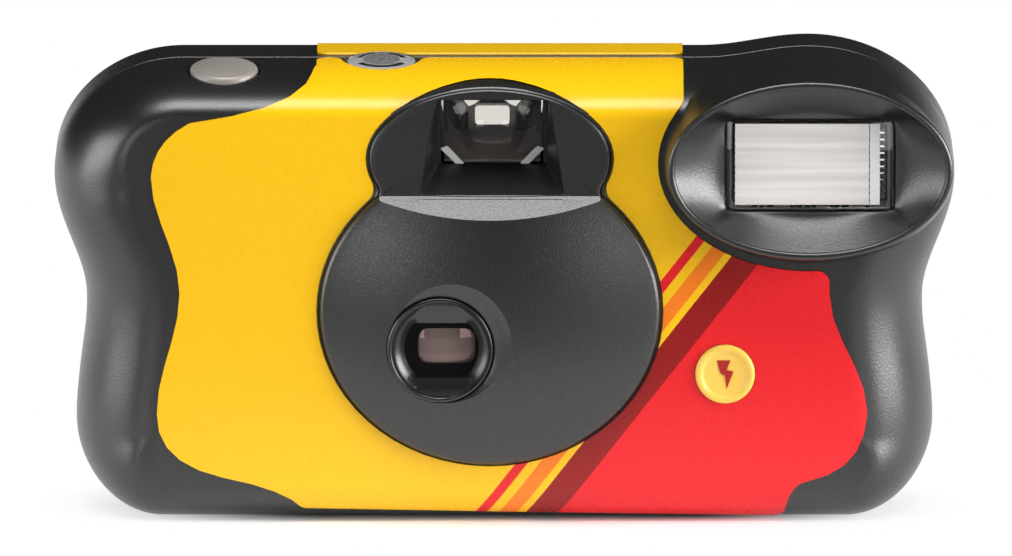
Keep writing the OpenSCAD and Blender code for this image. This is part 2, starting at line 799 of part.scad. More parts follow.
// Plan of a label: the strip between two depths, its corners rounded, and all that lies in a wider band
module label_plan(from_y, to_y, wide_from, wide_to) {
    difference() {
        union() {
            rounded(label_round) difference() {
                translate([strip_left, from_y]) square([label_strip_w, to_y - from_y]);
                window_edge();
            }
            translate([-body_w, wide_from]) square([2 * body_w, wide_to - wide_from]);
        }
        window_edge();
    }
}
module window_edge() {
    translate([window_x, window_y]) circle(counter_window_r + 1.5 * label_gap);
}
module front_label() {
    strip_y = seam_y - label_seam_gap;
    roll_y = seam_y - seam_land - 5;
    color([0.98, 0.78, 0.06]) intersection() {
        difference() {
            skin(-1, label_t, fine, seam_y - label_gap);
            skin(-1, 0, fine, seam_y);
        }
        front_prism(face_y - over, seam_y) rounded(label_round) difference() {
            front_label_shape();
            boss_outline(label_gap);
            bezel_foot(label_gap);
            translate([flash_button_x, flash_button_z]) circle(flash_button_r + label_gap);
        }
        linear_extrude(body_h + over) label_plan(rim_y - body_d, strip_y, rim_y - body_d, roll_y);
    }
}
module back_label() {
    margin = 1.5;
    frame = 5.4;
    groove_foot = groove_z - groove_r + label_gap;
    strip_y = seam_y + label_seam_gap;
    color([0.98, 0.78, 0.06]) intersection() {
        difference() {
            skin(1, label_t, coarse, seam_y + label_gap);
            skin(1, 0, coarse, seam_y);
        }
        front_prism(seam_y, back_y + over) difference() {
            union() {
                polygon(grown_outline(-back_roll - margin));
                translate([strip_left, mid_z]) square([label_strip_w, body_h]);
            }
            window_rect(eyepiece_w + frame, eyepiece_h + frame, finder_x, eyepiece_z);
            translate([ready_x, ready_z]) circle(ready_r + label_gap);
            translate([-body_w, groove_foot])
                square([body_w + groove_end + groove_r, body_h - label_gap - groove_foot]);
        }
        linear_extrude(body_h + over) label_plan(strip_y, back_y + body_d, back_y - wall, back_y + body_d);
    }
}

module shutter_button() {
    flange_z = button_flange_top - button_flange_t;
    dome_y = button_y + button_dome_r * sin(button_tilt);
    dome_z = button_top - button_dome_r * cos(button_tilt);
    color([0.62, 0.60, 0.57]) {
        intersection() {
            z_rod(button_x, button_y, button_r, flange_z, body_h + 2 * over);
            translate([button_x, dome_y, dome_z]) sphere(button_dome_r, $fn = lens_fn);
        }
        z_rod(button_x, button_y, button_r + button_flange, flange_z, button_flange_top);
        z_rod(button_x, button_y, 1.8, button_foot, flange_z);
    }
}
module release_leaf() {
    color([0.16, 0.16, 0.17])
        plan_bar([button_x, button_y], [leaf_x, leaf_y], 2.2, leaf_top - leaf_t, leaf_top);
}
module counter_window() {
    crown = body_h + 0.6;
    magnifier_r = 16;
    dome_y = window_y + magnifier_r * sin(counter_tilt);
    dome_z = crown - magnifier_r * cos(counter_tilt);
    foot = window_flange_top - window_flange_t;
    color([0.85, 0.88, 0.90, 0.5]) {
        intersection() {
            z_rod(window_x, window_y, counter_window_r, foot, crown + over);
            translate([window_x, dome_y, dome_z]) sphere(magnifier_r, $fn = lens_fn);
        }
        z_rod(window_x, window_y, counter_window_r + window_flange, foot, window_flange_top);
    }
}
module counter_wheel() {
    tooth = 360 / counter_marks;
    notch = 0.6;
    hub_r = 2.4;
    color([0.93, 0.93, 0.90]) difference() {
        union() {
            translate([counter_x, counter_y, counter_z]) linear_extrude(counter_t)
                polygon([for (i = [0:counter_marks - 1], k = [0:2])
                    let (a = (i + k * 0.3) * tooth, r = counter_r - (k == 2 ? notch : 0))
                    [r * cos(a), r * sin(a)]]);
            z_rod(counter_x, counter_y, hub_r, deck_top + move_gap, counter_z + counter_t / 2);
        }
        z_rod(counter_x, counter_y, pin_r + run_fit, deck_z, counter_z + 2 * counter_t);
    }
}
module thumbwheel() {
    rib = 360 / thumbwheel_ribs;
    rib_h = 0.6;
    flank = [0, 0.15, 0.5, 0.65];
    hub_r = 3.6;
    key_w = 1.8;
    dish = 1;
    color([0.09, 0.09, 0.10]) difference() {
        union() {
            translate([cartridge_x, cartridge_y, wheel_z]) linear_extrude(thumbwheel_t)
                polygon([for (i = [0:thumbwheel_ribs - 1], k = [0:3])
                    let (a = (i + flank[k]) * rib, r = thumbwheel_r - (k < 2 ? rib_h : 0))
                    [r * cos(a), r * sin(a)]]);
            z_rod(cartridge_x, cartridge_y, hub_r, deck_z - 0.4, wheel_z + over);
        }
        block([cartridge_x - spool_r, cartridge_y - key_w / 2, deck_z - over],
            [cartridge_x + spool_r, cartridge_y + key_w / 2, deck_z + 1]);
        difference() {
            z_rod(cartridge_x, cartridge_y, thumbwheel_r - 2.5, wheel_top - dish, wheel_top + over);
            z_rod(cartridge_x, cartridge_y, hub_r, wheel_top - dish - over, wheel_top + 2 * over);
        }
    }
}

module cartridge_shell() {
    cap_h = 1.2;
    cap_rim = 0.2;
    shell_t = 0.4;
    trap_l = 8;
    color([0.80, 0.66, 0.12]) difference() {
        union() {
            z_rod(cartridge_x, cartridge_y, cartridge_r - cap_rim, cartridge_z, cartridge_top);
            z_rod(cartridge_x, cartridge_y, cartridge_r, cartridge_z, cartridge_z + cap_h);
            z_rod(cartridge_x, cartridge_y, cartridge_r, cartridge_top - cap_h, cartridge_top);
            block([cartridge_x, film_y - 0.8, film_z - 0.6],
                [cartridge_x + trap_l, film_y + film_t + 0.5, film_top + 0.6]);
        }
        z_rod(cartridge_x, cartridge_y, cartridge_r - cap_rim - shell_t, cartridge_z + shell_t,
            cartridge_top - shell_t);
        z_rod(cartridge_x, cartridge_y, spool_r + move_gap, cartridge_z - over, cartridge_top + over);
        block([cartridge_x + 2, film_y - fit, film_z - fit],
            [cartridge_x + trap_l + over, film_y + film_t + fit, film_top + fit]);
    }
}
module cartridge_spool() {
    flange_r = 9;
    flange_t = 1;
    socket_r = spool_r - 1.6;
    key_w = 1.2;
    color([0.13, 0.13, 0.14]) difference() {
        union() {
            z_rod(cartridge_x, cartridge_y, spool_r, cartridge_z - 0.4, deck_top + 0.2);
            for (z = [film_z - 0.2 - flange_t, film_top + 0.2])
                z_rod(cartridge_x, cartridge_y, flange_r, z, z + flange_t);
        }
        difference() {
            z_rod(cartridge_x, cartridge_y, socket_r, deck_z - 4, deck_top + over);
            block([cartridge_x - spool_r, cartridge_y - key_w / 2, deck_z - 4 - over],
                [cartridge_x + spool_r, cartridge_y + key_w / 2, deck_z + 0.8]);
        }
        z_rod(cartridge_x, cartridge_y, socket_r, cartridge_z - over, cartridge_z + 4);
    }
}
module film_strip() {
    first_x = cartridge_x + 4;
    count = floor((supply_x - first_x - 2) / perforation_pitch);
    color([0.35, 0.24, 0.20]) difference() {
        block([first_x, film_y, film_z], [supply_x, film_y + film_t, film_top]);
        for (i = [0:count - 1], z = [perforation_z, 2 * lens_z - perforation_z])
            frame_slab(first_x + 3.4 + i * perforation_pitch, perforation_w, z - perforation_h / 2,
                z + perforation_h / 2, film_y - over, film_t + 2 * over);
    }
}
module supply_spool() {
    color([0.14, 0.14, 0.15]) {
        z_rod(supply_x, supply_y, supply_core_r, film_z - 1.5, film_top + 1.5);
        for (z = [film_z - 1.5, film_top + 1.5 - supply_flange_t])
            z_rod(supply_x, supply_y, supply_flange_r, z, z + supply_flange_t);
        z_rod(supply_x, supply_y, axle_r, film_z - supply_reach, film_top + supply_reach);
    }
}
module film_roll() {
    color([0.30, 0.21, 0.18]) difference() {
        z_rod(supply_x, supply_y, film_roll_r, film_z, film_top);
        z_rod(supply_x, supply_y, supply_core_r + fit, film_z - over, film_top + over);
    }
}
// Toothed wheel that the film turns, with a notched cam and the finger that steps the counter
module film_sprocket() {
    foot = perforation_z - perforation_h / 2;
    tooth_w = 1.6;
    tooth_h = 1.8;
    cam_z = deck_z - 2.6;
    cam_t = 1.4;
    color([0.92, 0.92, 0.90]) difference() {
        union() {
            z_rod(sprocket_x, sprocket_y, sprocket_r - 1, foot, deck_z - move_gap);
            z_rod(sprocket_x, sprocket_y, axle_r, foot - 1.6, finger_z + finger_t);
            for (i = [0:sprocket_teeth - 1])
                translate([sprocket_x, sprocket_y, foot]) rotate([0, 0, i * 360 / sprocket_teeth])
                    block([0, -tooth_w / 2, 0], [sprocket_r - 0.1, tooth_w / 2, tooth_h]);
            z_rod(sprocket_x, sprocket_y, sprocket_r - 0.5, cam_z, cam_z + cam_t);
            plan_bar([sprocket_x, sprocket_y], [sprocket_x, sprocket_y - 2.2], 0.9, finger_z,
                finger_z + finger_t);
        }
        z_rod(sprocket_x - sprocket_r, sprocket_y, 1.4, cam_z - 0.2, cam_z + cam_t + 0.2);
    }
}

// Light cone from the aperture back to the film gate, grown by grow for its wall
module light_cone(grow = 0) {
    mouth = aperture_r + 0.8;
    front = stop_y + stop_t;
    hull() {
        front_prism(gate_y - 0.3, gate_y - 0.3 + thin)
            window_rect(frame_w + 2 * grow, frame_h + 2 * grow, lens_x, lens_z);
        front_prism(front - thin, front)
            window_rect(2 * (mouth + grow), 2 * (mouth + grow), lens_x, lens_z);
    }
}
// Light-tight frame that carries the film, the shutter and the viewfinder
module chassis() {
    chamber_r = cartridge_r + move_gap;
    gate_t = 1.2;
    gate_foot = wall + 0.2;
    web_x = supply_x - supply_chamber_r - 0.2;
    web_foot = lens_z + 10.5;
    wall_top = film_top + 0.2;
    supply_foot = film_z - supply_reach;
    supply_top = film_top + supply_reach;
    finder_gap = finder_mouth_w + 4;
    color([0.15, 0.15, 0.16]) difference() {
        union() {
            // Cone and gate, open to the picture and round the cartridge
            difference() {
                union() {
                    light_cone(chassis_t);
                    block([cartridge_x + 8.5, gate_y - gate_t, gate_foot],
                        [supply_x - 8, gate_y, perforation_z - 1.2]);
                }
                light_cone();
                front_prism(gate_y - gate_t, gate_y + over) window_rect(frame_w, frame_h, lens_x, lens_z);
                z_rod(cartridge_x, cartridge_y, chamber_r, 0, deck_z);
            }
            // Film chambers
            difference() {
                union() {
                    z_rod(cartridge_x, cartridge_y, chamber_r + chassis_t, cartridge_z + 2.5, deck_z + 0.2);
                    z_rod(supply_x, supply_y, supply_chamber_r + chassis_t, supply_foot, supply_top);
                }
                z_rod(cartridge_x, cartridge_y, chamber_r, 0, body_h);
                z_rod(supply_x, supply_y, supply_chamber_r, supply_foot + 1, supply_top - 1);
                block([-half_w, cartridge_y + 3, 0], [half_w, back_y, body_h]);
            }
            for (z = [supply_foot, supply_top - 1])
                z_rod(supply_x, supply_y, 4, z, z + 1);
            // Shutter wall, web to the supply chamber and top deck
            frame_slab(lens_x, 2 * (plate_half_w + 1), lens_z - 10, wall_top, stop_y, stop_t);
            block([lens_x - plate_half_w - 1, stop_y, lens_z - 1],
                [lens_x - plate_half_w, gate_y - 1, lens_z + 1]);
            difference() {
                union() {
                    block([lens_x + plate_half_w, stop_y, web_foot], [web_x, stop_y + stop_t, wall_top]);
                    block([web_x - chassis_t, stop_y, web_foot], [web_x, supply_y, deck_top]);
                }
                block([board_x - board_slot, board_y - fit, board_z],
                    [flash_x, board_back + fit, board_top + fit]);
                for (p = board_posts_at)
                    y_rod(p.x, p.y, axle_r + fit, crown_y, board_y);
            }
            difference() {
                block([cartridge_x - 12, stop_y, deck_z], [web_x, cartridge_y + 7.5, deck_top]);
                frame_slab(finder_x, finder_gap, deck_z - over, deck_top + over, stop_y - over,
                    finder_y + fit - stop_y + over);
            }
            // Viewfinder walls, clear of the counter
            difference() {
                for (side = [-1, 1])
                    frame_slab(finder_x + side * (finder_lens_w / 2 + 0.1 + chassis_t / 2), chassis_t,
                        deck_top - 0.1, finder_top - 0.5, finder_y, gate_y - 2 - finder_y);
                z_rod(counter_x, counter_y, counter_r + move_gap, counter_z - move_gap, body_h);
            }
            // Pins for the counter, the leaf, the levers, the sprocket and the blade
            z_rod(counter_x, counter_y, pin_r, deck_z, counter_z + 1.5 * counter_t);
            z_rod(leaf_x, leaf_y, 1.4, deck_z, leaf_top - leaf_t);
            z_rod(drive_x, drive_y, pin_r, deck_z - 6.5, deck_z + 0.2);
            z_rod(metering_x, metering_y, pin_r, deck_z - 4, deck_z + 0.2);
            z_rod(sprocket_x, sprocket_y, 2.6, lens_z + 6, perforation_z - 1.3);
            y_rod(pivot_x, pivot_z, pivot_r, blade_y - 1, stop_y + 0.2);
        }
        y_rod(lens_x, lens_z, aperture_r, stop_y - over, stop_y + 2);
        z_rod(sprocket_x, sprocket_y, axle_r + run_fit, perforation_z - 2.8, deck_top + over);
        z_rod(cartridge_x, cartridge_y, spool_r + move_gap, deck_z - over, deck_top + over);
        for (z = [supply_foot - 0.2, supply_top - 1.2])
            z_rod(supply_x, supply_y, axle_r + run_fit, z, z + 1.4);
    }
}

module viewfinder_lens() {
    front = finder_y + 0.1;
    back = front + finder_lens_t;
    left = finder_x - finder_lens_w / 2;
    right = finder_x + finder_lens_w / 2;
    color([0.80, 0.85, 0.88, 0.5]) difference() {
        front_prism(front, back) polygon([
            [left + finder_chamfer, finder_foot], [right - finder_chamfer, finder_foot],
            [right, finder_foot + finder_chamfer], [right, finder_top],
            [left, finder_top], [left, finder_foot + finder_chamfer]]);
        translate([finder_x, back - finder_hollow_d + finder_hollow_r, (finder_foot + finder_top) / 2])
            sphere(finder_hollow_r, $fn = lens_fn);
    }
}
module eyepiece() {
    back = inner_back_y - fit;
    rim = 1;
    bulge_r = 30;
    color([0.80, 0.85, 0.88, 0.5]) intersection() {
        frame_slab(finder_x, eyepiece_w + 2 * rim, eyepiece_z - eyepiece_h / 2 - rim,
            eyepiece_z + eyepiece_h / 2 + rim, back - eyepiece_t, eyepiece_t);
        translate([finder_x, back - eyepiece_t + bulge_r, eyepiece_z]) sphere(bulge_r, $fn = lens_fn);
    }
}
// Ring that holds the lens, with a conical mouth that has a flat above and below
module lens_retainer() {
    ring_t = 0.7;
    flare = 2.4;
    color([0.08, 0.08, 0.09]) difference() {
        union() {
            y_rod(lens_x, lens_z, lens_hole_r - fit, hood_y, retainer_back_y);
            y_rod(lens_x, lens_z, flange_r - fit, shoulder_y + fit, retainer_back_y);
        }
        intersection() {
            y_rod(lens_x, lens_z, lens_hole_r - ring_t, hood_y - thin, retainer_back_y, lens_r - 1.8);
            side_prism(lens_x - flange_r, lens_x + flange_r) polygon([
                [hood_y - over, lens_z - hood_flat - flare],
                [retainer_back_y + over, lens_z - hood_flat + 0.4],
                [retainer_back_y + over, lens_z + hood_flat - 0.4],
                [hood_y - over, lens_z + hood_flat + flare]]);
        }
        y_rod(lens_x, lens_z, lens_r + fit, retainer_back_y - lens_t - 0.1, retainer_back_y + over);
    }
}
module taking_lens() {
    front = retainer_back_y - lens_t;
    bulge_r = 14;
    color([0.75, 0.62, 0.60, 0.6]) intersection() {
        y_rod(lens_x, lens_z, lens_r, front, retainer_back_y);
        translate([lens_x, front + bulge_r, lens_z]) sphere(bulge_r, $fn = lens_fn);
    }
}
module shutter_plate() {
    color([0.30, 0.30, 0.31]) difference() {
        union() {
            front_prism(shutter_plate_y, shutter_plate_y + plate_t) plate_outline();
            for (p = [[-8.5, -6.5], [9, -6.5], [-8.5, 13], [11.3, 4]])
                y_rod(lens_x + p.x, lens_z + p.y, pin_r, shutter_plate_y + plate_t / 2, stop_y);
        }
        y_rod(lens_x, lens_z, aperture_r + 1, shutter_plate_y - over, shutter_plate_y + plate_t + over);
    }
}
module shutter_blade() {
    color([0.20, 0.20, 0.21]) front_prism(blade_y, blade_y + blade_t) difference() {
        union() {
            front_bar([lens_x, lens_z], [pivot_x, pivot_z], aperture_r + 1.4, 2.2);
            front_bar([pivot_x, pivot_z], [pivot_x, film_top - 1.5], 1.6, pin_r);
        }
        translate([pivot_x, pivot_z]) circle(pivot_r + run_fit);
    }
}
module shutter_spring() {
    wire_r = 0.12;
    color([0.75, 0.75, 0.76]) translate([pivot_x, blade_y - 0.2, pivot_z]) rotate([90, 0, 0])
        coil(pivot_r + wire_r + 0.23, wire_r, 2, 0.6);
}
// Hub on a pin under the deck, with two arms
module lever(x, y, hub_r, arms, arm_r) {
    foot = deck_z - 3.2;
    difference() {
        union() {
            z_rod(x, y, hub_r, foot - 0.4, deck_z - move_gap);
            for (arm = arms)
                plan_bar([x, y], [x, y] + arm, arm_r, foot, deck_z - 1.2);
        }
        z_rod(x, y, pin_r + run_fit, foot - over, deck_z + over);
    }
}
module drive_lever() {
    color([0.85, 0.85, 0.83]) lever(drive_x, drive_y, 2.4, [[4.5, -4], [-1, 5.5]], 1.2);
}
module drive_spring() {
    wire_r = 0.25;
    color([0.75, 0.75, 0.76]) translate([drive_x, drive_y, deck_z - 6.4])
        coil(pin_r + wire_r + 0.3, wire_r, 3, 2.3);
}
module metering_lever() {
    color([0.85, 0.85, 0.83]) lever(metering_x, metering_y, 2.3, [[1, 5], [3.8, -3]], 1.1);
}

// Clear window with a flange behind the bezel and ribs across its inner face
module flash_lens() {
    w = window_w - 2 * fit;
    h = window_h - 2 * fit;
    pane = 1;
    rib = (h - 2 * pane) / lens_ribs;
    foot = flash_z - h / 2 + pane;
    color([0.88, 0.90, 0.92, 0.5]) difference() {
        union() {
            front_prism(flash_lens_y, inner_face_y + 0.2) window_rect(w, h, flash_x, flash_z);
            front_prism(inner_face_y + 0.1, reflector_y - 0.1)
                window_rect(w + 2 * flash_flange, h + 2 * flash_flange, flash_x, flash_z);
        }
        side_prism(flash_x - w / 2 + pane, flash_x + w / 2 - pane) polygon(concat(
            [[reflector_y, flash_z + h / 2 - pane], [reflector_y, foot]],
            [for (i = [0:lens_ribs - 1], k = [0, 1])
                [flash_lens_y + (k == 0 ? 1.4 : 0.9), foot + (i + k / 2) * rib]]));
    }
}
module flash_reflector() {
    half = window_h / 2 - 0.2;
    side = reflector_w / 2;
    function bowl(grow) = concat([for (i = [-8:8]) let (s = i / 8)
        [reflector_y + reflector_depth * (1 - s * s) + grow, flash_z + s * (half + grow)]],
        [for (s = [1, -1]) [reflector_y - (grow > 0 ? 0 : over), flash_z + s * (half + grow)]]);
    color([0.85, 0.86, 0.87]) difference() {
        side_prism(flash_x - side, flash_x + side) polygon(bowl(reflector_t));
        side_prism(flash_x - side + reflector_t, flash_x + side - reflector_t) polygon(bowl(0));
        x_rod(tube_y, flash_z, tube_r + 0.1, flash_x - side - over, flash_x + side + over);
    }
}
module flash_tube() {
    half = window_w / 2 + 1;
    wire_l = 1.5;
    color([0.90, 0.92, 0.95, 0.5]) x_rod(tube_y, flash_z, tube_r, flash_x - half, flash_x + half);
    color([0.70, 0.70, 0.70]) x_rod(tube_y, flash_z, 0.5, flash_x - half - wire_l, flash_x + half + wire_l);
}
module circuit_board() {
    color([0.12, 0.35, 0.18]) front_prism(board_y, board_back) {
        translate([board_x, board_z]) square([board_w, board_h]);
        translate([flash_x - 6, board_top - over]) square([8, flash_z - window_h / 2 - 0.5 - board_top + over]);
    }
}
module transformer() {
    w = 10;
    h = 11;
    cheek_t = 1.2;
    coil_l = 4;
    x = flash_x + 1;
    z = board_z + 21.5;
    end = board_back + 2 * cheek_t + coil_l;
    color([0.55, 0.35, 0.12]) {
        front_prism(board_back, board_back + cheek_t) window_rect(w, h, x, z);
        y_rod(x, z, 3.8, board_back + cheek_t, end - cheek_t);
        front_prism(end - cheek_t, end) window_rect(w, h, x, z);
    }
}
// Can with a crimped neck, lying under the lens, and two leads bent to the board
module capacitor() {
    end_x = capacitor_x + capacitor_l;
    neck_x = end_x - 3;
    neck_w = 1;
    lead_r = 0.4;
    lead_x = board_x + 2;
    lead_y = board_back + 0.6;
    color([0.10, 0.10, 0.12]) {
        difference() {
            x_rod(capacitor_y, capacitor_z, capacitor_r, capacitor_x, end_x);
            difference() {
                x_rod(capacitor_y, capacitor_z, capacitor_r + over, neck_x, neck_x + neck_w);
                x_rod(capacitor_y, capacitor_z, capacitor_r - 0.5, neck_x - over, neck_x + neck_w + over);
            }
        }
        for (z = [capacitor_z - 2, capacitor_z + 2]) {
            x_rod(lead_y, z, lead_r, end_x - over, lead_x + lead_r);
            y_rod(lead_x, z, lead_r, board_back, lead_y);
        }
    }
}
module battery() {
    nub_r = 2.75;
    top = battery_z + battery_h;
    color([0.55, 0.55, 0.57]) {
        z_rod(battery_x, battery_y, battery_r, battery_z, top);
        z_rod(battery_x, battery_y, nub_r, top, top + battery_nub);
    }
}
module battery_contact_top() {
    z = battery_z + battery_h + battery_nub + contact_gap;
    x = battery_x - 7;
    w = 3;
    foot = board_z + 30;
    leg_y = reflector_y + reflector_depth + 1;
    color([0.78, 0.76, 0.70]) {
        block([x, leg_y, z], [battery_x + 4, battery_y + 4, z + contact_t]);
        block([x, leg_y, foot], [x + w, leg_y + contact_t, z + contact_t]);
        block([x, board_back, foot], [x + w, leg_y + contact_t, foot + contact_t]);
    }
}
module battery_contact_base() {
    top = battery_z - contact_gap;
    half = 1.5;
    foot = top - contact_t;
    color([0.78, 0.76, 0.70]) {
        block([battery_x - 4, battery_y - 5, foot], [battery_x + 4, battery_y + 4, top]);
        block([battery_x - half, board_back, foot], [battery_x + half, battery_y - 4, top]);
        block([battery_x - half, board_back, foot], [battery_x + half, board_back + contact_t, board_z + 4]);
    }
}
// Round button with a dished face, a flange behind the wall and a stem over the switch leaf
module flash_button() {
    face = face_y - flash_button_out;
    dish_r = 25;
    dish_d = 0.6;
    flange_y = inner_face_y + 0.2;
    flange_t = 0.7;
    color([0.98, 0.80, 0.10]) difference() {
        union() {
            y_rod(flash_button_x, flash_button_z, flash_button_r, face, flange_y + flange_t);
            y_rod(flash_button_x, flash_button_z, flash_button_r + 0.9, flange_y, flange_y + flange_t);
            y_rod(flash_button_x, flash_button_z, axle_r, flange_y + flange_t, flash_button_foot);
        }
        translate([flash_button_x, face + dish_d - dish_r, flash_button_z]) sphere(dish_r, $fn = lens_fn);
    }
}
module flash_switch_leaf() {
    half = 2;
    color([0.78, 0.72, 0.50]) front_prism(board_y - switch_t, board_y)
        translate([flash_button_x - half, flash_button_z - half]) square([10, 2 * half]);
}
module sync_leaf() {
    color([0.78, 0.72, 0.50]) front_prism(board_back, board_back + switch_t)
        translate([lens_x + plate_half_w + 1.2, lens_z + 6])
            square([board_x + 4 - lens_x - plate_half_w - 1.2, 3]);
}
module ready_light() {
    foot = inner_back_y - 1.2;
    color([0.95, 0.45, 0.10, 0.8]) {
        y_rod(ready_x, ready_z, ready_r, foot, back_y + label_t);
        y_rod(ready_x, ready_z, ready_r + 0.8, foot, foot + 1);
    }
}

front_cover();
back_cover();
front_label();
back_label();
shutter_button();
counter_window();
counter_wheel();
thumbwheel();
cartridge_shell();
cartridge_spool();
film_strip();
supply_spool();
film_roll();
film_sprocket();
chassis();
viewfinder_lens();
eyepiece();
lens_retainer();
taking_lens();
shutter_plate();
shutter_blade();
shutter_spring();
drive_lever();
drive_spring();
metering_lever();
release_leaf();
flash_lens();
flash_reflector();
flash_tube();
circuit_board();
transformer();
capacitor();
battery();
battery_contact_top();
battery_contact_base();
flash_button();
flash_switch_leaf();
sync_leaf();
ready_light();
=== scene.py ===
"""Single-use film camera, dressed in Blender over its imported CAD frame."""
import math

import bpy
from mathutils import Matrix, Vector


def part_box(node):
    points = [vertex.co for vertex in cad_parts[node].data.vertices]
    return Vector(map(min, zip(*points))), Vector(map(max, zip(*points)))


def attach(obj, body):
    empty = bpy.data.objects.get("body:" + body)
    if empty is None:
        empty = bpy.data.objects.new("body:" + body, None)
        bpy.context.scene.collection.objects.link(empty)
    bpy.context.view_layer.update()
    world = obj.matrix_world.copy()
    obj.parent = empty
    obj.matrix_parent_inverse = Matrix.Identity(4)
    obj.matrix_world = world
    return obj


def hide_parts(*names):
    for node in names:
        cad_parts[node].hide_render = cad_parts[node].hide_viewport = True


bl_info = {
    "name": "Single-use film camera",
    "version": (1, 0, 0),
    "blender": (4, 5, 0),
    "location": "View3D > Sidebar > Film camera",
    "description": "Models and finishes a single-use film camera over its CAD frame",
    "category": "Add Mesh",
}

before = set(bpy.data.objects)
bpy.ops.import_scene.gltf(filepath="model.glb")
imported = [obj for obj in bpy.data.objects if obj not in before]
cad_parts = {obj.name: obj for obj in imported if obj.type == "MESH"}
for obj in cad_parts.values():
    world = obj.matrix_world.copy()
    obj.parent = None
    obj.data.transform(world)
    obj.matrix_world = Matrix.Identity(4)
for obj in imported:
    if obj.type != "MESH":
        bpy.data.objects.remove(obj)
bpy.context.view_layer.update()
MM = 0.001

# Sizes of the CAD part in millimetres. x is to the right, y is into the camera and z is up.
HALF_W, TOP_Z, CREST_Z = 59.0, 59.0, 60.5
HIP_X, WAIST_X, WAIST_Z, SHOULDER_Z = 56.2, 54.8, 27.5, 44.0
BASE_CORNER, TOP_CORNER_W, BUMP_RUN = 11.5, 17.0, 14.0
FACE_Y, SEAM_Y, BACK_Y, WALL = -12.0, 4.0, 18.0, 1.6
SIDE_ROLL, TOP_ROLL, BASE_ROLL, BASE_DEPTH, ROLL_DEPTH = 10.5, 5.5, 4.5, 6.0, 15.0
BACK_ROLL, BACK_BASE_ROLL = 5.0, 2.5
BOSS_X, BOSS_Z, BOSS_RX, BOSS_RZ, CROWN_Y, DOME_R = -1.9, 28.1, 22.25, 20.2, -16.3, 73.0
LOBE_Z, LOBE_RX, LOBE_RZ, LOBE_Y, LOBE_DOME_R, SLOPE = 48.3, 15.8, 9.3, -13.0, 300.0, 1.2
LENS_X, LENS_Z, RETAINER_FRONT_Y, RETAINER_BACK_Y = -8.4, 23.5, -15.2, -11.8
FINDER_X, FINDER_FOOT, FINDER_TOP, FINDER_Y = -1.6, 46.5, 55.7, -7.0
FINDER_LENS_HALF_W, FINDER_CHAMFER = 6.6, 2.2
MOUTH_Z, MOUTH_FOOT, MOUTH_TOP = 43.5, 9.45, 7.5
EYEPIECE_Z = 51.2
FLASH_X, FLASH_Z, RIM_RX, RIM_RZ, RIM_Y, RIM_T = 39.8, 47.7, 18.6, 11.8, -18.25, 1.0
FOOT_RX, FOOT_RZ, DISH_Y, TUBE_FOOT_Y, TUBE_WAIST_Y = 19.4, 13.9, -13.55, 3.0, -10.4
WINDOW_RX, WINDOW_RZ = 11.0, 6.0
BUTTON_X, BUTTON_Y, BUTTON_R, BUTTON_TOP_Z, BUTTON_SLOPE = -36.65, -2.9, 4.45, 59.3, 9
COUNTER_X, COUNTER_Y, COUNTER_R, COUNTER_TILT = -16.1, 1.6, 4.6, 5.0
FLASH_BUTTON_X, FLASH_BUTTON_Z, FLASH_BUTTON_R = 28.8, 19.8, 3.9
GROOVE_Y, GROOVE_Z, GROOVE_R, GROOVE_END = 21.3, 51.9, 7.5, -26.5
WHEEL_X, WHEEL_Y = -37.5, 3.5
READY_X, READY_Z = 11.0, 50.9

# How far the covers stay inside their CAD solids, and the depth of the groove at the seam
INSET, SEAM_DEPTH = 0.05, 0.8


# Outlines, as lists of two coordinates: (x, z) in the front view, (x, y) in plan, (y, z) from the side

def arc(cx, cz, rx, rz, start, end, n):
    turns = [math.radians(start + (end - start) * i / n) for i in range(n)]
    return [(cx + rx * math.cos(a), cz + rz * math.sin(a)) for a in turns]


def circle(cx, cz, r, n=96):
    return arc(cx, cz, r, r, 0, 360, n)


def oblong(left, foot, right, top):
    return [(left, foot), (right, foot), (right, top), (left, top)]


def oblong_about(x, z, half_w, half_h):
    return oblong(x - half_w, z - half_h, x + half_w, z + half_h)


def rounded(corners, r, steps=5):
    """Polygon with each corner replaced by a curve that starts r before it."""
    points = []
    n = len(corners)
    for i, c in enumerate(corners):
        here, before, after = Vector(c), Vector(corners[i - 1]), Vector(corners[(i + 1) % n])
        a = here + (before - here).normalized() * r
        b = here + (after - here).normalized() * r
        for k in range(steps + 1):
            t = k / steps
            points.append(tuple(a * (1 - t) ** 2 + here * 2 * t * (1 - t) + b * t * t))
    return points


def ease(t):
    return (1 - math.cos(math.pi * t)) / 2


def sway(a, b, n):
    return [(a[0] + (b[0] - a[0]) * ease(i / n), a[1] + (b[1] - a[1]) * i / n) for i in range(n)]


def rise(a, b, n):
    return [(a[0] + (b[0] - a[0]) * i / n, a[1] + (b[1] - a[1]) * ease(i / n)) for i in range(n)]


def straight(a, b, n):
    return [(a[0] + (b[0] - a[0]) * i / n, a[1] + (b[1] - a[1]) * i / n) for i in range(n)]


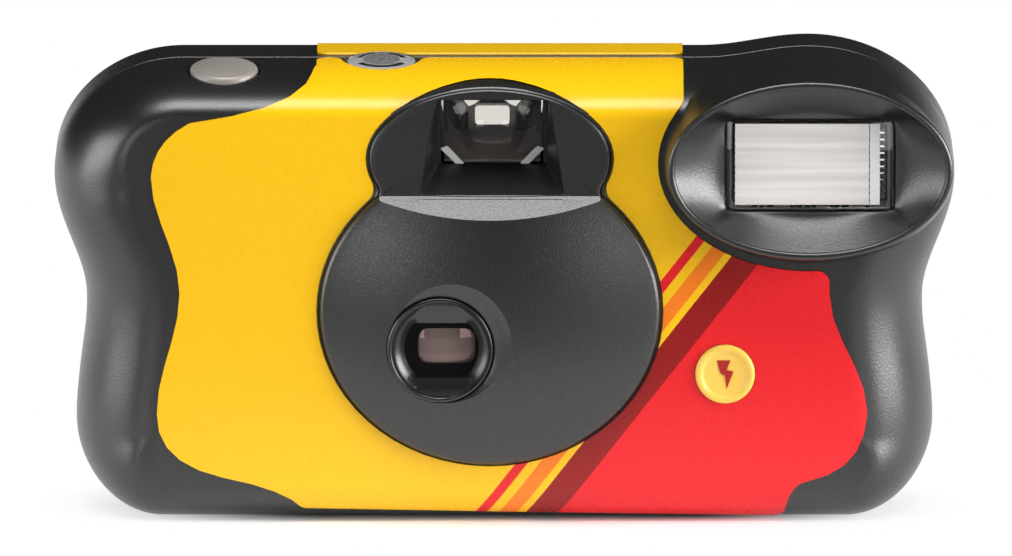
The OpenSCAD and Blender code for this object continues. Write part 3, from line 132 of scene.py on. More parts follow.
def body_outline():
    corner = HIP_X - BASE_CORNER
    return (
        arc(corner, BASE_CORNER, BASE_CORNER, BASE_CORNER, -90, 0, 24)
        + sway((HIP_X, BASE_CORNER), (WAIST_X, WAIST_Z), 18)
        + sway((WAIST_X, WAIST_Z), (HALF_W, SHOULDER_Z), 20)
        + arc(FLASH_X, SHOULDER_Z, HALF_W - FLASH_X, CREST_Z - SHOULDER_Z, 0, 90, 32)
        + rise((FLASH_X, CREST_Z), (FLASH_X - BUMP_RUN, TOP_Z), 18)
        + straight((FLASH_X - BUMP_RUN, TOP_Z), (TOP_CORNER_W - HALF_W, TOP_Z), 40)
        + arc(TOP_CORNER_W - HALF_W, SHOULDER_Z, TOP_CORNER_W, TOP_Z - SHOULDER_Z, 90, 180, 32)
        + sway((-HALF_W, SHOULDER_Z), (-WAIST_X, WAIST_Z), 20)
        + sway((-WAIST_X, WAIST_Z), (-HIP_X, BASE_CORNER), 18)
        + arc(-corner, BASE_CORNER, BASE_CORNER, BASE_CORNER, 180, 270, 24)
        + straight((-corner, 0.0), (corner, 0.0), 40)
    )


def outward_normals(points):
    normals = []
    for i, p in enumerate(points):
        total = Vector((0.0, 0.0))
        for a, b in ((points[i - 1], p), (p, points[(i + 1) % len(points)])):
            total += Vector((b[1] - a[1], a[0] - b[0])).normalized()
        normals.append(total.normalized())
    return normals


OUTLINE = body_outline()
NORMALS = outward_normals(OUTLINE)


def polar_ellipse(turn, cx, cz, rx, rz, from_x, from_z):
    """Distance from a point inside an ellipse to its edge, in a direction."""
    dx, dz = math.cos(turn) / rx, math.sin(turn) / rz
    ox, oz = (from_x - cx) / rx, (from_z - cz) / rz
    a, b, c = dx * dx + dz * dz, ox * dx + oz * dz, ox * ox + oz * oz - 1
    return (-b + math.sqrt(max(b * b - a * c, 0.0))) / a


def polar_outline(turn, points, from_x, from_z):
    """Distance from a point to the farthest crossing of an outline, in a direction."""
    dx, dz = math.cos(turn), math.sin(turn)
    far = 0.0
    for (ax, az), (bx, bz) in zip(points, points[1:] + points[:1]):
        ex, ez = bx - ax, bz - az
        cross = dx * ez - dz * ex
        if abs(cross) < 1e-12:
            continue
        along = ((ax - from_x) * ez - (az - from_z) * ex) / cross
        share = ((ax - from_x) * dz - (az - from_z) * dx) / cross
        if along > 0 and -1e-9 <= share <= 1 + 1e-9:
            far = max(far, along)
    return far


def blend_max(a, b, width):
    h = max(width - abs(a - b), 0.0) / width
    return max(a, b) + h * h * width / 4


def blend_min(a, b, width):
    return -blend_max(-a, -b, width)


# Rings of (x, y, z) that lofts are laid over

def at_depth(points, y):
    return [(x, y, z) for x, z in points]


def at_height(points, z):
    return [(x, y, z) for x, y in points]


def at_side(points, x):
    return [(x, y, z) for y, z in points]


def mouth_ring(grow, y):
    return [(p[0] + n.x * grow, y, p[1] + n.y * grow) for p, n in zip(OUTLINE, NORMALS)]


def front_ring(grow, turn):
    """Ring of the front skin where its rolled edge has turned by so many degrees towards the face."""
    a = math.radians(turn)
    ring = []
    for p, n in zip(OUTLINE, NORMALS):
        base = n.y * n.y if n.y < 0 else 0.0
        r = SIDE_ROLL * n.x * n.x + (TOP_ROLL if n.y > 0 else BASE_ROLL) * n.y * n.y
        d = ROLL_DEPTH * (1 - base) + BASE_DEPTH * base
        q = grow - (r + grow) * (1 - math.cos(a))
        ring.append((p[0] + n.x * q, FACE_Y + d - math.sin(a) * (d + grow), p[1] + n.y * q))
    return ring


def back_ring(grow, turn):
    """Ring of the back skin where its rounded edge has turned by so many degrees towards the back."""
    a = math.radians(turn)
    ring = []
    for p, n in zip(OUTLINE, NORMALS):
        base = n.y * n.y if n.y < 0 else 0.0
        r = BACK_ROLL * (1 - base) + BACK_BASE_ROLL * base
        q = grow - (r + grow) * (1 - math.cos(a))
        ring.append((p[0] + n.x * q, BACK_Y - r + math.sin(a) * (r + grow), p[1] + n.y * q))
    return ring


def sloped_ring(r, z):
    """Ring about the shutter button, on the slope of the top."""
    tilt = math.tan(math.radians(BUTTON_SLOPE))
    return [(x, y, z + tilt * (y - BUTTON_Y)) for x, y in circle(BUTTON_X, BUTTON_Y, r)]


def eyepiece_ring(y, w, h, corner, low=0.0):
    return at_depth(rounded(oblong_about(FINDER_X, EYEPIECE_Z - low, w / 2, h / 2), corner), y)


# Modelling steps

def clear_selection():
    if bpy.context.object and bpy.context.object.mode != "OBJECT":
        bpy.ops.object.mode_set(mode="OBJECT")
    bpy.ops.object.select_all(action="DESELECT")


def make_active(obj):
    clear_selection()
    obj.select_set(True)
    bpy.context.view_layer.objects.active = obj


def loft(name, rings, round_again=False):
    """Grid laid over a list of rings in millimetres, welded along its side and closed at its ends."""
    clear_selection()
    across, along = len(rings[0]), len(rings) - (0 if round_again else 1)
    bpy.ops.mesh.primitive_grid_add(x_subdivisions=across, y_subdivisions=along, size=1)
    obj = bpy.context.object
    obj.name = obj.data.name = name
    for v in obj.data.vertices:
        i = round((v.co.x + 0.5) * across) % across
        k = round((v.co.y + 0.5) * along) % len(rings)
        v.co = Vector(rings[k][i]) * MM
    bpy.ops.object.mode_set(mode="EDIT")
    bpy.ops.mesh.select_all(action="SELECT")
    bpy.ops.mesh.remove_doubles(threshold=1e-8)
    if not round_again:
        bpy.ops.mesh.fill_holes(sides=0)
    bpy.ops.mesh.select_all(action="SELECT")
    bpy.ops.mesh.normals_make_consistent(inside=False)
    bpy.ops.object.mode_set(mode="OBJECT")
    return obj


def prism(name, points, from_y, to_y):
    return loft(name, [at_depth(points, y) for y in (from_y, to_y)])


def turned_y(name, x, z, profile, n=96):
    """Profile of (radius, y) turned about an axis along y."""
    return loft(name, [at_depth(circle(x, z, r, n), y) for r, y in profile])


def turned_z(name, x, y, profile, n=96):
    """Profile of (radius, z) turned about an upright axis."""
    return loft(name, [at_height(circle(x, y, r, n), z) for r, z in profile])


def apply_modifier(obj, kind, **settings):
    make_active(obj)
    modifier = obj.modifiers.new(kind.lower(), kind)
    for key, value in settings.items():
        setattr(modifier, key, value)
    bpy.ops.object.modifier_apply(modifier=modifier.name)
    return obj


def carve(obj, tool, operation="DIFFERENCE"):
    apply_modifier(obj, "BOOLEAN", operation=operation, solver="EXACT", object=tool)
    bpy.data.objects.remove(tool, do_unlink=True)
    return obj


def soften(obj, width, angle=40):
    """Rounds the sharp edges of a piece."""
    return apply_modifier(obj, "BEVEL", width=width * MM, segments=2, limit_method="ANGLE",
                          angle_limit=math.radians(angle))


def smooth(obj, angle=35):
    make_active(obj)
    bpy.ops.object.shade_smooth_by_angle(angle=math.radians(angle))
    return obj


def join(name, first, *others):
    make_active(first)
    for other in others:
        other.select_set(True)
    bpy.ops.object.join()
    first.name = first.data.name = name
    return first


def copy_of_node(node, name):
    """Welded copy of a CAD node's mesh, to be finished as a piece."""
    obj = bpy.data.objects.new(name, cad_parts[node].data.copy())
    obj.data.name = name
    bpy.context.scene.collection.objects.link(obj)
    obj.data.materials.clear()
    make_active(obj)
    bpy.ops.object.mode_set(mode="EDIT")
    bpy.ops.mesh.select_all(action="SELECT")
    bpy.ops.mesh.remove_doubles(threshold=2e-6)
    bpy.ops.mesh.dissolve_limited(angle_limit=math.radians(0.5))
    bpy.ops.object.mode_set(mode="OBJECT")
    return obj


def seat(obj, material, slot, *nodes, body="camera_body"):
    """Gives a finished piece its material and its body, and hides the CAD nodes that it stands for."""
    obj.data.materials.clear()
    obj.data.materials.append(material)
    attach(obj, body)
    if nodes:
        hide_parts(*nodes)


# Finishes

class Finish:
    """Material whose nodes are added one after the other."""

    def __init__(self, name):
        old = bpy.data.materials.get(name)
        if old:
            bpy.data.materials.remove(old)
        self.material = bpy.data.materials.new(name)
        self.material.use_nodes = True
        self.tree = self.material.node_tree
        self.shader = self.tree.nodes["Principled BSDF"]

    def fill(self, node, inputs):
        """Sets inputs of a node, each to a plain value or to the output of another node."""
        for key, value in inputs.items():
            if isinstance(value, bpy.types.NodeSocket):
                self.tree.links.new(value, node.inputs[key])
            else:
                node.inputs[key].default_value = value

    def add(self, kind, inputs, **settings):
        node = self.tree.nodes.new("ShaderNode" + kind)
        for key, value in settings.items():
            setattr(node, key, value)
        self.fill(node, inputs)
        return node.outputs

    def place(self):
        return self.add("TexCoord", {})["Object"]

    def scaled_place(self, scale):
        return self.add("Mapping", {"Scale": scale, "Vector": self.place()})["Vector"]

    def noise(self, grain, detail=3.0, rough=0.55):
        """Noise whose features are about grain millimetres across."""
        return self.add("TexNoise", {"Scale": 1.0 / (grain * MM), "Detail": detail, "Roughness": rough,
                                     "Vector": self.place()})["Fac"]

    def spread(self, value, low, high, start=0.0, end=1.0, **settings):
        """Value that goes from low to high while another goes from start to end."""
        return self.add("MapRange", {"From Min": start, "From Max": end, "To Min": low, "To Max": high,
                                     "Value": value}, **settings)["Result"]

    def tone(self, value, dark, light):
        return self.add("Mix", {"A": (*dark, 1), "B": (*light, 1), "Factor": value}, data_type="RGBA")["Result"]

    def bump(self, height, strength, depth):
        return self.add("Bump", {"Strength": strength, "Distance": depth * MM, "Height": height})["Normal"]

    def done(self, inputs):
        """Sets the inputs of the surface and gives the material."""
        self.fill(self.shader, inputs)
        return self.material


def shade(colour, factor):
    return tuple(min(1.0, c * factor) for c in colour)


def moulded(name, colour, rough=0.45, grain=0.3, relief=0.2, depth=0.01, metallic=0.0, coat=0.0, shine=0.5):
    """Moulded plastic or metal with a fine grain and slight changes of tone."""
    finish = Finish(name)
    fine, broad = finish.noise(grain), finish.noise(9.0, 4.0)
    return finish.done({
        "Base Color": finish.tone(broad, shade(colour, 0.9), shade(colour, 1.12)),
        "Roughness": finish.spread(fine, rough - 0.07, rough + 0.07),
        "Metallic": metallic, "Coat Weight": coat, "Specular IOR Level": shine,
        "Normal": finish.bump(fine, relief, depth)})


def sparkling(name, colour, fleck, rough, grain, relief, depth, shine):
    """Satin plastic with fine paler flecks in its grain."""
    finish = Finish(name)
    fine = finish.noise(grain, 2.0, 0.5)
    return finish.done({
        "Base Color": finish.tone(finish.spread(fine, 0, 1, 0.5, 0.72), colour, fleck),
        "Roughness": finish.spread(fine, rough + 0.1, rough - 0.1),
        "Specular IOR Level": shine,
        "Normal": finish.bump(fine, relief, depth)})


def clear(name, colour, rough=0.02, ior=1.49, clearness=1.0, tint=(1, 1, 1), shine=0.5):
    """Clear plastic or glass with slight changes of haze."""
    finish, haze = Finish(name), 0.004
    return finish.done({
        "Base Color": (*colour, 1), "Transmission Weight": clearness, "IOR": ior,
        "Specular Tint": (*tint, 1), "Specular IOR Level": shine,
        "Roughness": finish.spread(finish.noise(3.0, 2.0), rough, rough + haze)})


def printed(name, label):
    """Glossy printed label: a plain ground with straight slanting bands at one end."""
    finish = Finish(name)
    lean, half_span = math.radians(label.band_lean), 0.012
    along = finish.add("VectorMath", {0: finish.place(), 1: (math.sin(lean), 0.0, -math.cos(lean))},
                       operation="DOT_PRODUCT")["Value"]
    span = finish.spread(along, 0, 1, label.band_start - half_span, label.band_start + half_span)
    bands = [(0.0, label.ground), (0.26, label.band_bright), (0.31, label.ground), (0.36, label.band_warm),
             (0.44, label.ground), (0.48, label.band_dark), (0.62, label.band_bright)]
    ink = finish.add("ValToRGB", {"Fac": span})["Color"]
    ramp = ink.node.color_ramp
    ramp.interpolation = "CONSTANT"
    while len(ramp.elements) < len(bands):
        ramp.elements.new(1.0)
    for stop, (at, colour) in zip(ramp.elements, bands):
        stop.position = at
        stop.color = (*colour, 1)
    paper = finish.noise(0.5, 4.0)
    wash = finish.tone(paper, (0.98, 0.98, 0.98), (1, 1, 1))
    return finish.done({
        "Base Color": finish.add("Mix", {"Factor": 1.0, "A": ink, "B": wash}, data_type="RGBA",
                                 blend_type="MULTIPLY")["Result"],
        "Roughness": finish.spread(paper, 0.24, 0.32),
        "Specular IOR Level": 0.5,
        "Normal": finish.bump(paper, 0.02, 0.01)})


def ruled(name, ground, mark, axis, count, rough):
    """Ground crossed by evenly spaced thin lines along one axis, count to the centimetre."""
    finish = Finish(name)
    wave = finish.add("TexWave", {"Scale": count * 100 / 20, "Distortion": 0.0, "Vector": finish.place()},
                      bands_direction=axis)["Fac"]
    return finish.done({
        "Base Color": finish.tone(finish.spread(wave, -1.5, 1.0), ground, mark),
        "Roughness": rough,
        "Normal": finish.bump(wave, 0.3, 0.03)})


# Settings that a user would change

def colour_setting(name, description, default):
    return bpy.props.FloatVectorProperty(
        name=name, description=description, subtype="COLOR", size=3, min=0, max=1, default=default)


def number_setting(name, description, default, **limits):
    return bpy.props.FloatProperty(name=name, description=description, default=default, **limits)


def lamp_setting(name, place, default):
    return number_setting(name, "Power of the light " + place, default, min=0, unit="POWER")


class CameraLook(bpy.types.PropertyGroup):
    plastic: colour_setting("Covers", "Colour of the moulded covers", (0.007, 0.007, 0.0068))
    fleck: colour_setting("Flecks", "Colour of the fine flecks in the covers", (0.024, 0.024, 0.023))
    ground: colour_setting("Label", "Ground colour of the labels", (1.0, 0.57, 0.005))
    band_bright: colour_setting("Bright band", "Colour of the bright bands on the label", (0.82, 0.012, 0.018))
    band_dark: colour_setting("Dark band", "Colour of the dark band on the label", (0.30, 0.004, 0.004))
    band_warm: colour_setting("Warm band", "Colour of the warm band on the label", (0.95, 0.22, 0.01))
    band_lean: number_setting("Band slant", "Slant of the bands from the upright", 52, min=0, max=90)
    band_start: number_setting("Band place", "Place of the bands across their slant", 0.002, unit="LENGTH")
    silver: colour_setting("Shutter button", "Colour of the shutter button", (0.33, 0.30, 0.275))
    flash_yellow: colour_setting("Flash button", "Colour of the flash button", (0.98, 0.60, 0.10))
    grain: number_setting("Grain", "Size of the grain of the covers in millimetres", 0.26, min=0.05, max=2)


class CameraShape(bpy.types.PropertyGroup):
    seam_gap: number_setting("Seam", "Half the width of the seam in millimetres", 0.14, min=0.05, max=0.4)
    boss_edge: number_setting(
        "Boss edge", "Rounding of the edge of the boss in millimetres", 0.6, min=0.1, max=1.2)
    lobe_edge: number_setting(
        "Lobe edge", "Rounding of the edge of the lobe in millimetres", 0.45, min=0.1, max=1)


class CameraStage(bpy.types.PropertyGroup):
    distance: number_setting("Distance", "From the view camera to the object", 3.0, min=0.2, unit="LENGTH")
    elevation: number_setting("Elevation", "Height of the view in degrees", 10.5, min=-90, max=90)
    focal: number_setting("Focal length", "Focal length of the view in millimetres", 816.9, min=10)
    floor: colour_setting("Floor", "Colour of the floor", (0.86, 0.86, 0.86))
    overhead: lamp_setting("Overhead light", "above", 2.2)
    left: lamp_setting("Left light", "at the left", 0.95)
    right: lamp_setting("Right light", "at the right", 2.9)
    key: lamp_setting("Key light", "in front at the left", 0.55)
    fill: lamp_setting("Fill light", "in front at the right", 0.45)
    surroundings: number_setting("Surroundings", "Strength of the grey surroundings", 0.02, min=0)


def look():
    return bpy.context.scene.camera_look


def shape():
    return bpy.context.scene.camera_shape


# Forms of the covers

def cover_shell(name, ring, seam_y, into, step):
    """Hollow cover from the seam to its flat face, with half of the groove of the seam at its edge."""
    under, lip = -INSET, seam_y + into * shape().seam_gap
    edge = ((-WALL, seam_y), (-SEAM_DEPTH, seam_y), (-SEAM_DEPTH, lip), (under - INSET, lip),
            (under, lip + into * INSET))
    return loft(name, [ring(-WALL, t) for t in range(90, -1, -15)]
                + [mouth_ring(grow, y) for grow, y in edge]
                + [ring(under, t) for t in range(0, 91, step)])


def counter_opening():
    """Opening round the counter's window, half of it in each cover."""
    return turned_z("counter_opening", COUNTER_X, COUNTER_Y, [
        (COUNTER_R + 1.1, 60.2), (COUNTER_R + 0.3, 58.85), (COUNTER_R + 0.15, 58.5), (COUNTER_R + 0.15, 50.0)])


def ball_front(middle_z, front_y, r):
    """Depth at any (x, z) of a ball on the middle of the boss."""
    def depth(x, z):
        reach = (x - BOSS_X) ** 2 + (z - middle_z) ** 2
        return front_y + r - math.sqrt(r ** 2 - reach)
    return depth


def crowned(name, edge_at, middle, front_y, edge):
    """Raised form with a filleted foot, a rounded edge and a crowned front.

    edge_at gives its outline for a growth, and front_y the depth of its front at any place.
    """
    rings = [at_depth(edge_at(0.0), FACE_Y + 1.4)]
    for grow, up in ((0.5, 0.0), (0.22, 0.07), (0.07, 0.22), (0.0, 0.5)):
        rings.append(at_depth(edge_at(grow), FACE_Y + 0.02 - up))
    for turn in range(0, 91, 15):
        a = math.radians(turn)
        rings.append([(x, front_y(x, z) + edge * (1 - math.sin(a)), z)
                      for x, z in edge_at(-edge * (1 - math.cos(a)))])
    inner = edge_at(-edge)
    for k in range(1, 21):
        s = 1 - k / 20.0 * 0.995
        ring = [(middle[0] + (x - middle[0]) * s, middle[1] + (z - middle[1]) * s) for x, z in inner]
        rings.append([(x, front_y(x, z), z) for x, z in ring])
    return loft(name, rings)


def dome_edge(grow):
    return arc(BOSS_X, BOSS_Z, BOSS_RX + grow, BOSS_RZ + grow, 0, 360, 256)


def lobe_edge(grow):
    """Outline of the lobe, flared into the boss at the neck and drawn in under the boss below it."""
    from_z = 42.0
    points = []
    for i in range(256):
        a = 2 * math.pi * i / 256
        lobe = polar_ellipse(a, BOSS_X, LOBE_Z, LOBE_RX + grow, LOBE_RZ + grow, BOSS_X, from_z)
        boss = polar_ellipse(a, BOSS_X, BOSS_Z, BOSS_RX + grow, BOSS_RZ + grow, BOSS_X, from_z)
        r = blend_max(lobe, min(boss, 19.0), 2.4)
        under = ease(min(max((boss - lobe - 1.5) / 4.0, 0.0), 1.0)) * 2.0
        points.append((BOSS_X + (r - under) * math.cos(a), from_z + (r - under) * math.sin(a)))
    return points


def finder_ring(grow, y, half_foot, half_top, foot, top):
    """Four-sided ring with rounded corners."""
    corners = [(FINDER_X - half_foot - grow, foot - grow), (FINDER_X + half_foot + grow, foot - grow),
               (FINDER_X + half_top + grow, top + grow), (FINDER_X - half_top - grow, top + grow)]
    return at_depth(rounded(corners, 0.7 + max(grow, 0) * 0.5), y)


def finder_recess(name, grow):
    """Tapered recess of the viewfinder, with a rounded lip round its mouth when it isn't grown."""
    def mouth(out, y, foot):
        return finder_ring(out, y, MOUTH_FOOT, MOUTH_TOP, foot, FINDER_TOP + 0.6)

    deep = finder_ring(grow, FINDER_Y - 0.02, 7.2, 7.2, FINDER_FOOT + 0.3, FINDER_TOP - 0.4)
    if grow > 0:
        return loft(name, [deep, mouth(grow, LOBE_Y + 0.9, MOUTH_Z)])
    out, y, step = -0.15, LOBE_Y + 0.5, 0.2
    lip = [mouth(out, y, MOUTH_Z + 0.1)]
    for turn in (75, 60, 45, 30, 15):
        out += step * math.cos(math.radians(turn))
        y -= step * math.sin(math.radians(turn))
        lip.append(mouth(out, y, MOUTH_Z + 0.1))
    return loft(name, [deep] + lip + [mouth(2.2, LOBE_Y - 1.6, MOUTH_Z + 0.1)])


def lens_boss():
    """Domed boss with the lobe, the slope under the viewfinder, the recess and the lens opening."""
    boss = crowned("lens_boss", dome_edge, (BOSS_X, BOSS_Z), ball_front(BOSS_Z, CROWN_Y, DOME_R), shape().boss_edge)
    lower, far, above = LOBE_Y + 0.14, -24.0, 64.0
    side = [(lower, MOUTH_Z), (lower, above), (far, above), (far, MOUTH_Z - SLOPE * (lower - far))]
    carve(boss, loft("slope", [at_side(side, x) for x in (-40.0, 36.0)]))
    lobe_front = ball_front(LOBE_Z, LOBE_Y, LOBE_DOME_R)
    carve(boss, crowned("lobe", lobe_edge, (BOSS_X, 47.0), lobe_front, shape().lobe_edge), "UNION")
    carve(boss, finder_recess("finder_wall", 1.0), "UNION")
    carve(boss, finder_recess("finder_recess", 0.0))
    return carve(boss, turned_y("lens_opening", LENS_X, LENS_Z, [
        (13.0, -18.4), (10.1, CROWN_Y - 0.35), (9.5, CROWN_Y + 0.1), (8.4, CROWN_Y + 0.55), (7.5, CROWN_Y + 0.85),
        (7.05, CROWN_Y + 1.15), (7.0, CROWN_Y + 1.6), (7.0, -8.0)], 128))


def flash_bezel():
    """Flared tube of the flash with its rounded rim, its dish and the walls of its window."""
    n, steps, square, wall, ledge_y = 288, 12, 14, 1.4, -9.6
    turns = [2 * math.pi * i / n for i in range(n)]
    edge = [polar_outline(a, OUTLINE, FLASH_X, FLASH_Z) for a in turns]
    foot = [polar_ellipse(a, 0, 0, FOOT_RX, FOOT_RZ, 0, 0) for a in turns]
    rim = [polar_ellipse(a, 0, 0, RIM_RX, RIM_RZ, 0, 0) for a in turns]
    window = [(abs(math.cos(a) / WINDOW_RX) ** square + abs(math.sin(a) / WINDOW_RZ) ** square) ** (-1 / square)
              for a in turns]

    def ring(y, reach):
        return [(FLASH_X + r * math.cos(a), y, FLASH_Z + r * math.sin(a)) for a, r in zip(turns, reach)]

    def tube(y):
        s = (TUBE_FOOT_Y - y) / (TUBE_FOOT_Y - TUBE_WAIST_Y)
        inset = 0.01 + 0.3 * s * s
        return [blend_min(f, e - inset, 0.8) for f, e in zip(foot, edge)]

    rings = [ring(y, tube(y)) for y in (TUBE_FOOT_Y, 1.0, -1.0, -3.0, -5.0, -7.0, -9.0, TUBE_WAIST_Y)]
    waist, lip_y = tube(TUBE_WAIST_Y), RIM_Y + RIM_T / 2
    for k in range(1, steps + 1):
        u = k / steps
        y = TUBE_WAIST_Y + (lip_y - TUBE_WAIST_Y) * u
        rings.append(ring(y, [r + (w - r) * (1 - u) ** 1.5 for r, w in zip(rim, waist)]))
    for turn in range(15, 181, 15):
        a = math.radians(turn)
        inset = RIM_T / 2 * (1 - math.cos(a))
        rings.append(ring(lip_y - RIM_T / 2 * math.sin(a), [r - inset for r in rim]))
    for k in range(1, steps + 1):
        u = k / steps
        y = lip_y + (DISH_Y - lip_y) * (1 - (1 - u) ** 1.35)
        rings.append(ring(y, [(r - RIM_T) * (1 - u) + (w + 0.2) * u for r, w in zip(rim, window)]))
    rings += [
        ring(DISH_Y + 0.15, window),
        ring(ledge_y, window),
        ring(ledge_y, [w + 1.2 for w in window]),
        ring(ledge_y, [t - wall for t in waist]),
        ring(TUBE_FOOT_Y, [t - wall for t in tube(TUBE_FOOT_Y)]),
    ]
    return loft("flash_bezel", rings, round_again=True)


class CAMERA_OT_front_cover(bpy.types.Operator):
    """Front cover with its rolled edges, the lens boss and the flash bezel"""
    bl_idname = "camera.front_cover"
    bl_label = "Front cover"

    def execute(self, context):
        skin = cover_shell("front_skin", front_ring, SEAM_Y, -1, 5)
        window = oblong_about(FLASH_X, FLASH_Z, WINDOW_RX + 0.8, WINDOW_RZ + 0.8)
        carve(skin, prism("window_cut", window, -20.0, -1.0))
        carve(skin, finder_recess("finder_cut", 0.5))
        carve(skin, turned_y("lens_cut", LENS_X, LENS_Z, [(8.6, -20.0), (8.6, -6.0)]))
        carve(skin, turned_y("button_cut", FLASH_BUTTON_X, FLASH_BUTTON_Z, [
            (5.2, FACE_Y - 0.6), (FLASH_BUTTON_R + 0.35, FACE_Y + 0.15), (FLASH_BUTTON_R + 0.15, FACE_Y + 0.4),
            (FLASH_BUTTON_R + 0.15, -6.0)]))
        well = ((1.5, 60.4), (0.6, 58.5), (0.3, 58.15), (0.2, 57.6), (0.2, 50.0))
        carve(skin, loft("well", [sloped_ring(BUTTON_R + gap, z) for gap, z in well]))
        carve(skin, counter_opening())
        cover = smooth(join("front_cover_shell", skin, lens_boss(), flash_bezel()), 19)
        finish = sparkling("charcoal_moulding", look().plastic, look().fleck, 0.33, look().grain, 0.7, 0.03, 1.0)
        seat(cover, finish, "black_plastic", "front_cover")
        return {"FINISHED"}


class CAMERA_OT_back_cover(bpy.types.Operator):
    """Back cover with the thumb groove and the eyepiece recess"""
    bl_idname = "camera.back_cover"
    bl_label = "Back cover"

    def execute(self, context):
        cover = cover_shell("back_cover_shell", back_ring, SEAM_Y + 0.02, 1, 6)
        core = loft("core", [mouth_ring(-WALL / 2, SEAM_Y + 1)] + [back_ring(-WALL / 2, t) for t in range(0, 91, 10)])
        carve(core, self.groove("cup", GROOVE_R + WALL), "INTERSECT")
        carve(cover, core, "UNION")
        carve(cover, self.groove("groove", GROOVE_R))
        recess = ((16.2, 9.0, 5.0), (16.8, 9.0, 5.0), (17.45, 10.6, 6.6), (18.4, 13.0, 9.0))
        carve(cover, loft("recess", [eyepiece_ring(y, w, h, 1.0) for y, w, h in recess]))
        carve(cover, turned_z("wheel_slot", WHEEL_X, WHEEL_Y, [(13.1, 44.5), (13.1, 51.2)], 128))
        carve(cover, counter_opening())
        carve(cover, turned_y("light_cut", READY_X, READY_Z, [(1.55, 12.0), (1.55, 17.7), (2.1, 18.4)], 48))
        smooth(cover, 19)
        seat(cover, bpy.data.materials["charcoal_moulding"], "black_plastic", "back_cover")
        return {"FINISHED"}

    def groove(self, name, r):
        """Capsule along x that opens at the side of the camera."""
        turns = [math.radians(t) for t in range(0, 90, 6)]
        stations = [(-75.0, 1.0), (-50.0, 1.0)] + [(GROOVE_END + r * math.sin(a), math.cos(a)) for a in turns]
        return loft(name, [at_side(circle(GROOVE_Y, GROOVE_Z, max(r * share, 0.01)), x) for x, share in stations])


class CAMERA_OT_labels(bpy.types.Operator):
    """Printed labels on the front and the back"""
    bl_idname = "camera.labels"
    bl_label = "Labels"

    def execute(self, context):
        finish = printed("printed_label", look())
        for node, ring in (("front_label", front_ring), ("back_label", back_ring)):
            label = smooth(copy_of_node(node, node + "_print"), 32)
            skin = loft("skin", [mouth_ring(0.0, SEAM_Y)] + [ring(0.0, t) for t in range(0, 91, 5)])
            self.follow(label, smooth(skin, 60))
            if node == "front_label":
                join(label.name, label, self.collar())
            seat(label, finish, "label_print", node)
        return {"FINISHED"}

    def collar(self):
        """Thin ring of label that closes up to the flash button."""
        inner, outer, front = FLASH_BUTTON_R + 0.08, FLASH_BUTTON_R + 0.42, FACE_Y - 0.24
        rings = [at_depth(circle(FLASH_BUTTON_X, FLASH_BUTTON_Z, r), y)
                 for r, y in ((inner, FACE_Y), (outer, FACE_Y), (outer, front), (inner, front))]
        return smooth(loft("collar", rings, round_again=True), 30)

    def follow(self, label, skin):
        """Gives a label the normals of the smooth skin under it."""
        apply_modifier(label, "DATA_TRANSFER", object=skin, use_loop_data=True, data_types_loops={"CUSTOM_NORMAL"},
                       loop_mapping="POLYINTERP_NEAREST")
        bpy.data.objects.remove(skin, do_unlink=True)


class CAMERA_OT_shutter_button(bpy.types.Operator):
    """Domed shutter button that follows the slope of the top"""
    bl_idname = "camera.shutter_button"
    bl_label = "Shutter button"

    def execute(self, context):
        edge, bow = 0.55, 48.0
        crown = BUTTON_R ** 2 / bow
        stem = ((1.8, 53.1), (1.8, 54.5), (5.15, 54.5), (5.15, 55.3), (BUTTON_R, 55.3))
        cap = [(BUTTON_R, -crown - edge)]
        for turn in (22.5, 45, 67.5, 90):
            a = math.radians(turn)
            cap.append((BUTTON_R - edge * (1 - math.cos(a)), -crown - edge * (1 - math.sin(a))))
        cap += [(r, -r * r / bow) for r in (3.2, 2.4, 1.6, 0.8, 0.02)]
        rings = [at_height(circle(BUTTON_X, BUTTON_Y, r), z) for r, z in stem]
        rings += [sloped_ring(r, BUTTON_TOP_Z + drop) for r, drop in cap]
        button = smooth(loft("shutter_button_cap", rings), 40)
        finish = moulded("satin_silver", look().silver, 0.46, 0.15, 0.3, metallic=0.3)
        seat(button, finish, "silver_plastic", "shutter_button", body="shutter_button")
        return {"FINISHED"}


